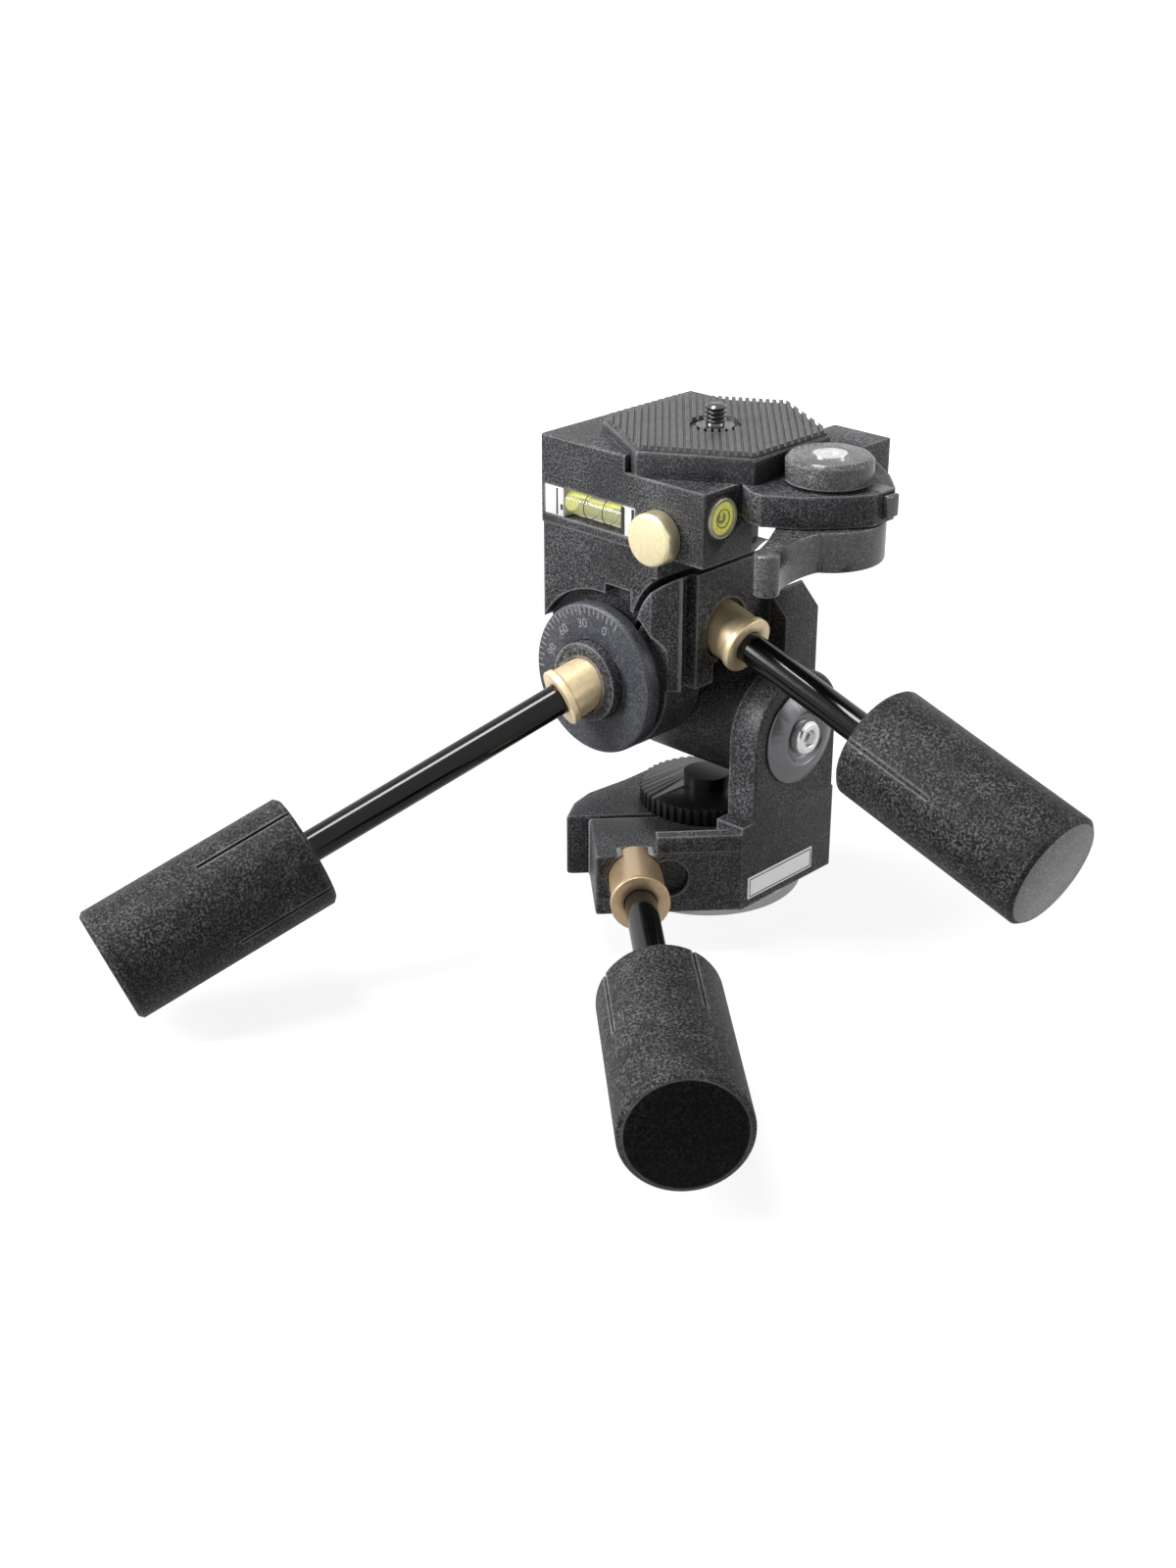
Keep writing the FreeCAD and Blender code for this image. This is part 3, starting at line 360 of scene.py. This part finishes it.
glossRod = groupedMaterial("glossRod", turnedMetal, {
    "Color": (0.004, 0.004, 0.0045, 1), "Roughness": 0.12, "Line Scale": 300.0, "Stretch": (1, 1, 1)},
    bump=0.02, distance=0.0001, shader={"Metallic": 0.0, "Specular IOR Level": 0.28})
# the label's white film glows faintly: painted light on a part that is no lamp
glowingWhiteFilm = groupedMaterial("glowingWhiteFilm", castGrain, {
    "Color": (0.86, 0.87, 0.88, 1), "Light Color": (0.8, 0.8, 0.82, 1),
    "Roughness": 0.35, "Roughness Spread": 0.1, "Fine Scale": 900.0, "Broad Scale": 80.0},
    bump=0.05, distance=0.0001, shader={"Emission Color": (1, 1, 1, 1), "Emission Strength": 0.2})
whiteMoulding = groupedMaterial("whiteMoulding", castGrain, {
    "Color": (0.86, 0.87, 0.85, 1), "Light Color": (0.74, 0.75, 0.72, 1),
    "Roughness": 0.4, "Roughness Spread": 0.1, "Fine Scale": 700.0, "Broad Scale": 120.0},
    bump=0.1, distance=0.0001, shader={})
# the level liquid glows yellow: painted light on a part that is no lamp
glowingLevelLiquid = groupedMaterial("glowingLevelLiquid", castGrain, {
    "Color": (0.74, 0.74, 0.16, 1), "Light Color": (0.93, 0.92, 0.46, 1),
    "Roughness": 0.12, "Roughness Spread": 0.05, "Fine Scale": 380.0, "Broad Scale": 160.0},
    bump=0.03, distance=0.0001, shader={"Emission Color": (0.78, 0.77, 0.2, 1), "Emission Strength": 0.4})
levelBubble = groupedMaterial("levelBubble", castGrain, {
    "Color": (0.93, 0.93, 0.5, 1), "Light Color": (0.97, 0.97, 0.72, 1),
    "Roughness": 0.08, "Roughness Spread": 0.03, "Fine Scale": 500.0, "Broad Scale": 160.0},
    bump=0.02, distance=0.0001, shader={"Coat Weight": 1.0, "Coat Roughness": 0.03})
paleRing = groupedMaterial("paleRing", castGrain, {
    "Color": (0.74, 0.72, 0.5, 1), "Light Color": (0.88, 0.87, 0.7, 1),
    "Roughness": 0.3, "Roughness Spread": 0.1, "Fine Scale": 700.0, "Broad Scale": 200.0},
    bump=0.1, distance=0.0001, shader={})
printInk = groupedMaterial("printInk", castGrain, {
    "Color": (0.24, 0.24, 0.26, 1), "Light Color": (0.4, 0.4, 0.42, 1),
    "Roughness": 0.5, "Roughness Spread": 0.1, "Fine Scale": 1500.0, "Broad Scale": 200.0},
    bump=0.1, distance=0.0001, shader={})
darkInk = groupedMaterial("darkInk", castGrain, {
    "Color": (0.012, 0.012, 0.011, 1), "Light Color": (0.03, 0.03, 0.028, 1),
    "Roughness": 0.4, "Roughness Spread": 0.1, "Fine Scale": 1500.0, "Broad Scale": 200.0},
    bump=0.1, distance=0.0001, shader={})
bearingPlastic = groupedMaterial("bearingPlastic", castGrain, {
    "Color": (0.62, 0.62, 0.58, 1), "Light Color": (0.7, 0.7, 0.66, 1),
    "Roughness": 0.5, "Roughness Spread": 0.1, "Fine Scale": 800.0, "Broad Scale": 120.0},
    bump=0.1, distance=0.0001, shader={})


glassValues = {"hazeScale": 400.0, "veil": (0.0, 1.0, 0.03, 0.1), "tint": (0.95, 0.98, 0.85, 1),
               "alpha": 0.12}


def makeGlass(v):
    material, tree, bsdf = newMaterial("clearGlass")
    coords = tree.nodes.new("ShaderNodeTexCoord")
    haze = tree.nodes.new("ShaderNodeTexNoise")
    haze.inputs["Scale"].default_value = v["hazeScale"]
    tree.links.new(coords.outputs["Object"], haze.inputs["Vector"])
    tree.links.new(rangeNode(tree, haze.outputs["Fac"], *v["veil"]), bsdf.inputs["Roughness"])
    bsdf.inputs["Base Color"].default_value = v["tint"]
    bsdf.inputs["Alpha"].default_value = v["alpha"]
    bsdf.inputs["Coat Weight"].default_value = 1.0
    return material


clearGlass = makeGlass(glassValues)
print("materials made")

# solids that keep their own mesh
keptNodes = {
    "base_screws": brightSteel, "thread_bush": brightSteel, "pan_spindle": brightSteel,
    "scale_ring_bolt": blackAlloy, "screw_clip": screwSteel, "tilt_axle": brightSteel,
    "pan_stud": brightSteel, "front_tilt_stud": brightSteel, "side_tilt_stud": brightSteel,
    "drum_washer": brightSteel, "lever_washer": brightSteel, "balance_spring": brightSteel,
    "catch_spring": brightSteel,
    "base_washer": bearingPlastic, "brake_plug": bearingPlastic, "vial_tube": clearGlass,
    "round_level_window": clearGlass, "vial_fluid": glowingLevelLiquid, "round_level_fluid": glowingLevelLiquid,
    "vial_bubble": levelBubble, "round_level_bubble": levelBubble, "pan_rod": glossRod,
    "front_tilt_rod": glossRod, "side_tilt_rod": glossRod,
}
for node, material in keptNodes.items():
    paint(nodes[node], material)
    smooth(nodes[node])

# solids dressed with softened edges: new name, finish and width of the edge
dressedNodes = {
    "pan_casting": ("panCastingSkin", castPaint, 0.45), "tilt_casting": ("tiltCastingSkin", castPaint, 0.45),
    "platform_casting": ("platformSkin", castPaint, 0.5), "axle_cap": ("axleCapSkin", axleCapMetal, 0.3),
    "axle_end_cover": ("endCoverSkin", castPaint, 0.3), "scale_disc": ("scaleDiscSkin", discPaint, 0.6),
    "base_disc": ("baseDiscSkin", satinAlloy, 0.3), "pan_scale_ring": ("scaleRingSkin", blackAlloy, 0.15),
    "label_plate": ("labelSkin", glowingWhiteFilm, 0.1), "vial_carrier": ("vialCarrierSkin", whiteMoulding, 0.2),
    "round_level_cup": ("roundCupSkin", paleRing, 0.2), "quick_plate": ("plateSkin", plateShell, 0.4),
    "lever_arm": ("leverSkin", leverPlastic, 0.8), "lever_cap": ("leverCapSkin", capPaint, 0.4),
    "lever_bolt": ("leverBoltSkin", brightSteel, 0.2), "axle_bolt": ("axleBoltSkin", brightSteel, 0.2),
    "catch_button": ("catchSkin", leverPlastic, 0.5), "lock_knob": ("knobSkin", knobMetal, 0.25),
    "pan_collar": ("panCollarSkin", bronzeMetal, 0.3),
    "front_tilt_collar": ("frontCollarSkin", champagneMetal, 0.3),
    "side_tilt_collar": ("sideCollarSkin", champagneMetal, 0.3),
    "pan_grip": ("panGripSkin", gripCoat, 0.25), "front_tilt_grip": ("frontGripSkin", gripCoat, 0.25),
    "side_tilt_grip": ("sideGripSkin", gripCoat, 0.25),
}
for node, (name, material, width) in dressedNodes.items():
    dressedCopy(node, name, material, width)
print("castings, handles and trim dressed")

# end faces of the grips, as wide as the flat ring round them, with each handle's heading and rise; the side
# tilt end is painted pale as if lit, the other two near black as if shaded
endValues = {"radius": 15.9, "thick": 2.0, "proud": 0.05, "edge": 0.2, "sides": 96,
             "ends": {"pan": (-42.0, 0.0, shadedGripEndFace), "front_tilt": (250.3, -21.5, shadedGripEndFace),
                      "side_tilt": (-2.0, -17.0, litGripEndFace)}}


def boxCentre(piece):
    corners = [Vector(c) for c in piece.bound_box]
    return (corners[0] + corners[6]) / 2


def buildGripEnds(v):
    for handle, (heading, rise, material) in v["ends"].items():
        turn, tilt = math.radians(heading), math.radians(rise)
        away = Vector((math.cos(turn) * math.cos(tilt), math.sin(turn) * math.cos(tilt), math.sin(tilt)))
        node = handle + "_grip_cap"
        place = boxCentre(nodes[node]) + away * v["proud"] * mm
        clearSelection()
        bpy.ops.mesh.primitive_cylinder_add(vertices=v["sides"], radius=v["radius"] * mm,
                                            depth=v["thick"] * mm, location=place,
                                            rotation=away.to_track_quat("Z", "Y").to_euler())
        end = bpy.context.object
        settle(end)
        roundEdges(end, v["edge"])
        smooth(end)
        finishPiece(end, handle.replace("_tilt", "") + "GripEnd", material, bodyOf[node], [node])


buildGripEnds(endValues)

# ribbed pad
padValues = {"radius": 32.4, "low": 143.4, "base": 0.6, "top": 145.0, "pitch": 2.0, "width": 1.15,
             "ribTurn": 42.0, "hole": 7.5, "holeSides": 64, "holeDepth": 6.0, "trimDepth": 8.0, "spare": 4.0,
             "shortest": 2.0, "sunk": 0.1, "edge": 0.15}


def ribSpan(across, turn, apothem):  # where a rib meets the plate's six sides
    low, high = -math.inf, math.inf
    for k in range(6):
        side = math.radians(60 * k)
        slope = math.cos(turn + math.pi / 2 - side)
        room = apothem - across * math.cos(turn - side)
        if slope > 0:
            high = min(high, room / slope)
        elif slope < 0:
            low = max(low, room / slope)
    return low, high


def buildPad(v):
    apothem = v["radius"] * math.cos(math.radians(30))
    clearSelection()
    bpy.ops.mesh.primitive_cylinder_add(vertices=6, radius=v["radius"] * mm, depth=v["base"] * mm,
                                        location=(0, 0, (v["low"] + v["base"] / 2) * mm))
    parts = [bpy.context.object]
    count = 2 * int(v["radius"] / v["pitch"]) + 1
    turn = math.radians(v["ribTurn"])
    height = v["top"] - v["low"] - v["base"] + v["sunk"]
    for k in range(count):
        across = (k - (count - 1) / 2) * v["pitch"]
        low, high = ribSpan(across, turn, apothem)
        if high - low < v["shortest"]:
            continue
        middle = (low + high) / 2
        place = (across * math.cos(turn) - middle * math.sin(turn),
                 across * math.sin(turn) + middle * math.cos(turn), v["top"] - height / 2)
        bpy.ops.mesh.primitive_cube_add(size=1, location=[c * mm for c in place], rotation=(0, 0, turn))
        rib = bpy.context.object
        rib.scale = (v["width"] * mm, (high - low + v["spare"]) * mm, height * mm)
        parts.append(rib)
    for part in parts:
        settle(part)
    pad = joinAll(parts)
    for operation, sides, radius, depth in (("INTERSECT", 6, v["radius"], v["trimDepth"]),
                                            ("DIFFERENCE", v["holeSides"], v["hole"], v["holeDepth"])):
        bpy.ops.mesh.primitive_cylinder_add(vertices=sides, radius=radius * mm, depth=depth * mm,
                                            location=(0, 0, v["top"] * mm))
        cutter = bpy.context.object
        settle(cutter)
        addModifier(pad, "BOOLEAN", operation=operation, object=cutter, solver="EXACT", use_self=True)
        bpy.data.objects.remove(cutter)
    roundEdges(pad, v["edge"], 1)
    smooth(pad)
    return finishPiece(pad, "ribbedPad", ribbedRubber, "plate", ["plate_pad"])


buildPad(padValues)

# captive camera screw: slotted head, plain shank and a cut thread
screwValues = {"head": 9.0, "low": 136.0, "headTop": 139.4, "lowEdge": 0.4, "topEdge": 0.3, "step": 0.001,
               "slotLong": 21.6, "slotWide": 2.0, "slotDeep": 1.4, "shank": 2.7, "neck": 0.3, "runOut": 0.1,
               "thread": 3.175, "patchyEdgeHighlight": 0.02, "root": 2.55, "pitch": 1.27, "crestFrom": 0.45, "crestTo": 0.6,
               "rootFrom": 0.95, "threadLow": 145.0, "lastTurn": 0.3, "top": 150.4, "pointDeep": 0.5,
               "point": 2.15, "smooth": 50}


def turnedPiece(rings, segments=64):  # a closed round piece from its (radius, height) steps
    clearSelection()
    bpy.ops.mesh.primitive_circle_add(vertices=segments, radius=rings[0][0] * mm, fill_type="NGON",
                                      location=(0, 0, rings[0][1] * mm))
    piece = bpy.context.object
    bpy.ops.object.mode_set(mode="EDIT")
    bpy.ops.mesh.select_all(action="SELECT")
    radius, height = rings[0]
    for nextRadius, nextHeight in rings[1:]:
        bpy.ops.mesh.extrude_region_move(TRANSFORM_OT_translate={"value": (0, 0, (nextHeight - height) * mm)})
        if nextRadius != radius:
            share = nextRadius / radius
            bpy.ops.transform.resize(value=(share, share, 1), center_override=(0, 0, nextHeight * mm))
        radius, height = nextRadius, nextHeight
    bpy.ops.mesh.select_all(action="SELECT")
    bpy.ops.mesh.normals_make_consistent(inside=False)
    bpy.ops.object.mode_set(mode="OBJECT")
    settle(piece)
    return piece


def buildScrew(v):
    rings = [(v["head"] - v["lowEdge"], v["low"]), (v["head"], v["low"] + v["lowEdge"]),
             (v["head"], v["headTop"] - v["topEdge"]), (v["head"] - v["topEdge"], v["headTop"]),
             (v["shank"], v["headTop"] + v["step"]), (v["shank"], v["threadLow"] - v["neck"]),
             (v["root"], v["threadLow"] - v["runOut"])]
    height, crest = v["threadLow"], v["thread"] - v["patchyEdgeHighlight"]
    while height + v["pitch"] < v["top"] - v["lastTurn"]:
        rings += [(v["root"], height), (crest, height + v["pitch"] * v["crestFrom"]),
                  (crest, height + v["pitch"] * v["crestTo"]),
                  (v["root"], height + v["pitch"] * v["rootFrom"])]
        height += v["pitch"]
    rings += [(v["root"] + v["runOut"], v["top"] - v["pointDeep"]), (v["point"], v["top"])]
    screw = turnedPiece(rings)
    bpy.ops.mesh.primitive_cube_add(size=1, location=(0, 0, v["low"] * mm))
    cutter = bpy.context.object
    cutter.scale = (v["slotLong"] * mm, v["slotWide"] * mm, 2 * v["slotDeep"] * mm)
    settle(cutter)
    addModifier(screw, "BOOLEAN", operation="DIFFERENCE", object=cutter, solver="EXACT")
    bpy.data.objects.remove(cutter)
    smooth(screw, v["smooth"])
    return finishPiece(screw, "cameraScrew", screwSteel, "camera_bolt", ["camera_screw"])


buildScrew(screwValues)
print("plate top made")

# scale figures and ticks on the disc
scaleValues = {"zero": 17.0, "lead": 10, "step": 5, "steps": 24, "tickIn": 19.6, "tickOut": 22.0,
               "shorter": 0.8, "tickWide": 0.42, "thick": 0.06, "tickLift": 0.02,
               "figures": ("0", "30", "60", "90"), "figureStep": 30, "figureRadius": 17.0, "size": 4.0,
               "figureLift": 0.03}


def onDisc(radius, a, lift):  # a place on the disc's face, at an angle from the top
    return ((tiltAxis["x"] + radius * math.sin(a)) * mm, (tiltAxis["face"] - lift) * mm,
            (tiltAxis["z"] + radius * math.cos(a)) * mm)


def printedBar(size, place, turn=(0, 0, 0)):
    bpy.ops.mesh.primitive_cube_add(size=1, location=place, rotation=turn)
    bar = bpy.context.object
    bar.scale = [s * mm for s in size]
    settle(bar)
    return bar


def buildScale(v):
    clearSelection()
    marks = []
    for k in range(v["steps"] + 1):
        a = math.radians(v["zero"] + v["lead"] - k * v["step"])
        inner = v["tickIn"] if k % 2 == 0 else v["tickIn"] + v["shorter"]
        place = onDisc((inner + v["tickOut"]) / 2, a, v["tickLift"])
        marks.append(printedBar((v["tickWide"], v["thick"], v["tickOut"] - inner), place, (0, a, 0)))
    for k, figure in enumerate(v["figures"]):
        a = math.radians(v["zero"] - v["figureStep"] * k)
        bpy.ops.object.text_add(location=onDisc(v["figureRadius"], a, v["figureLift"]))
        words = bpy.context.object
        words.data.body = figure
        words.data.size = v["size"] * mm
        words.data.align_x = "CENTER"
        words.data.align_y = "CENTER"
        words.data.extrude = v["figureLift"] * mm
        words.rotation_euler = (Matrix.Rotation(a, 3, "Y") @ Matrix.Rotation(math.pi / 2, 3, "X")).to_euler()
        bpy.ops.object.convert(target="MESH")
        settle(bpy.context.object)
        marks.append(bpy.context.object)
    scale = joinAll(marks)
    return finishPiece(scale, "discScale", printInk, "tilt_block")


buildScale(scaleValues)

# marks on both levels
levelValues = {"tubeY": -28.85, "tubeZ": 121.85, "lines": (-20.9, -13.6), "tubeRadius": 3.95, "wire": 0.13,
               "roundX": 25.5, "roundY": -25.5, "roundZ": 127.7, "roundMark": 2.6, "front": -32.75,
               "thick": 0.1, "lift": 0.02, "around": 48, "wireSides": 8,
               # left, right, middle above the tube's axis and height of each band
               "bands": ((-31.9, -31.3, 0, 8.0), (-30.2, -29.3, -1.4, 1.6), (-6.2, -4.8, 0, 8.2),
                         (-2.2, -1.2, 0, 8.2))}


def levelRing(radius, place, v):
    bpy.ops.mesh.primitive_torus_add(major_radius=radius * mm, minor_radius=v["wire"] * mm,
                                     major_segments=v["around"], minor_segments=v["wireSides"],
                                     rotation=(0, math.pi / 2, 0), location=[c * mm for c in place])
    ring = bpy.context.object
    settle(ring)
    return ring


def buildLevelMarks(v):
    clearSelection()
    parts = [levelRing(v["tubeRadius"], (x, v["tubeY"], v["tubeZ"]), v) for x in v["lines"]]
    parts.append(levelRing(v["roundMark"], (v["roundX"], v["roundY"], v["roundZ"]), v))
    for left, right, up, height in v["bands"]:
        place = ((left + right) / 2 * mm, (v["front"] - v["lift"]) * mm, (v["tubeZ"] + up) * mm)
        parts.append(printedBar((right - left, v["thick"], height), place))
    marks = joinAll(parts)
    smooth(marks)
    return finishPiece(marks, "levelMarks", darkInk, "platform")


buildLevelMarks(levelValues)

# thin dark frame printed on the plain label
labelValues = {"x": 32.4, "front": -17.5, "back": 12.5, "bottom": 8.6, "top": 15.6, "inset": 0.7,
               "line": 0.35, "thick": 0.06}


def buildLabelFrame(v):
    clearSelection()
    low, high = v["front"] + v["inset"], v["back"] - v["inset"]
    floor, roof = v["bottom"] + v["inset"], v["top"] - v["inset"]
    middleY, middleZ = (low + high) / 2, (floor + roof) / 2
    across = (v["thick"], high - low, v["line"])
    upright = (v["thick"], v["line"], roof - floor)
    bars = []
    for size, y, z in ((across, middleY, floor), (across, middleY, roof), (upright, low, middleZ),
                       (upright, high, middleZ)):
        bars.append(printedBar(size, (v["x"] * mm, y * mm, z * mm)))
    return finishPiece(joinAll(bars), "labelFrame", darkInk, "pan_body")


buildLabelFrame(labelValues)
print("scale, label and level marks made")

# floor, lights and camera
stageValues = {"floor": -8.0, "size": 6.0, "grey": (0.4, 0.4, 0.4, 1), "roughness": 0.8, "glow": 1.6,
               "glossGlow": 1.0, "share": 0.55, "near": 0.16, "far": 0.5, "aim": (0, 0, 0.08)}
# place, size and power
lampValues = {
    "topLamp": ((-0.3, -0.35, 1.8), 0.5, 22.0), "keyLamp": ((-0.9, -1.2, 0.8), 0.6, 30.0),
    "rightLamp": ((1.2, 0.85, 0.5), 0.6, 5.0),
}


def buildStage(v, lamps):
    clearSelection()
    bpy.ops.mesh.primitive_plane_add(size=v["size"], location=(0, 0, v["floor"] * mm))
    floor = bpy.context.object
    floor.name = "floor"
    settle(floor)
    material, tree, bsdf = newMaterial("paleFloor")
    new, link = tree.nodes.new, tree.links.new
    bsdf.inputs["Base Color"].default_value = v["grey"]
    bsdf.inputs["Roughness"].default_value = v["roughness"]
    glow = new("ShaderNodeEmission")
    glow.inputs["Color"].default_value = (1, 1, 1, 1)
    seen = new("ShaderNodeLightPath")
    link(rangeNode(tree, seen.outputs["Is Camera Ray"], 0.0, 1.0, v["glossGlow"], v["glow"]),
         glow.inputs["Strength"])
    # the floor glows more with distance, so that it shows white and only its middle takes shadows
    coords = new("ShaderNodeTexCoord")
    away = new("ShaderNodeVectorMath")
    away.operation = "LENGTH"
    link(coords.outputs["Object"], away.inputs[0])
    far = rangeNode(tree, away.outputs["Value"], v["near"], v["far"], v["share"])
    either = mathNode(tree, "MAXIMUM", seen.outputs["Is Camera Ray"], seen.outputs["Is Glossy Ray"])
    mix = new("ShaderNodeMixShader")
    link(mathNode(tree, "MULTIPLY", either, far), mix.inputs["Fac"])
    link(bsdf.outputs["BSDF"], mix.inputs[1])
    link(glow.outputs["Emission"], mix.inputs[2])
    link(mix.outputs["Shader"], tree.nodes["Material Output"].inputs["Surface"])
    paint(floor, material)
    for name, (place, size, power) in lamps.items():
        bpy.ops.object.light_add(type="AREA", location=place)
        lamp = bpy.context.object
        lamp.name = name
        lamp.data.size = size
        lamp.data.energy = power
        aim = Vector(v["aim"]) - Vector(place)
        lamp.rotation_euler = aim.to_track_quat("-Z", "Y").to_euler()


buildStage(stageValues, lampValues)

# the room looks white, but lights the head only a little
roomValues = {"light": 0.1, "seen": 1.0}


def buildRoom(v):
    world = bpy.data.worlds.new("paleRoom")
    bpy.context.scene.world = world
    world.use_nodes = True
    tree = world.node_tree
    back = tree.nodes["Background"]
    back.inputs["Color"].default_value = (1, 1, 1, 1)
    seen = tree.nodes.new("ShaderNodeLightPath").outputs
    either = mathNode(tree, "MAXIMUM", seen["Is Camera Ray"], seen["Is Transmission Ray"])
    every = mathNode(tree, "MAXIMUM", either, seen["Is Glossy Ray"])
    tree.links.new(rangeNode(tree, every, 0.0, 1.0, v["light"], v["seen"]), back.inputs["Strength"])


buildRoom(roomValues)

cameraValues = {"place": (0.399, -0.4679, 0.3167), "heading": 43.86, "down": 25.01, "focal": 50.35,
                "sensor": 36, "nearest": 0.01}
cameraData = bpy.data.cameras.new("viewCamera")
cameraData.sensor_fit = "VERTICAL"
cameraData.sensor_height = cameraValues["sensor"]
cameraData.lens = cameraValues["focal"]
cameraData.clip_start = cameraValues["nearest"]
viewCamera = bpy.data.objects.new("viewCamera", cameraData)
bpy.context.scene.collection.objects.link(viewCamera)
viewCamera.location = cameraValues["place"]
viewCamera.rotation_euler = (math.radians(90 - cameraValues["down"]), 0,
                             math.radians(cameraValues["heading"]))
bpy.context.scene.camera = viewCamera
bpy.context.scene.view_settings.view_transform = "Standard"
print("stage and camera set")
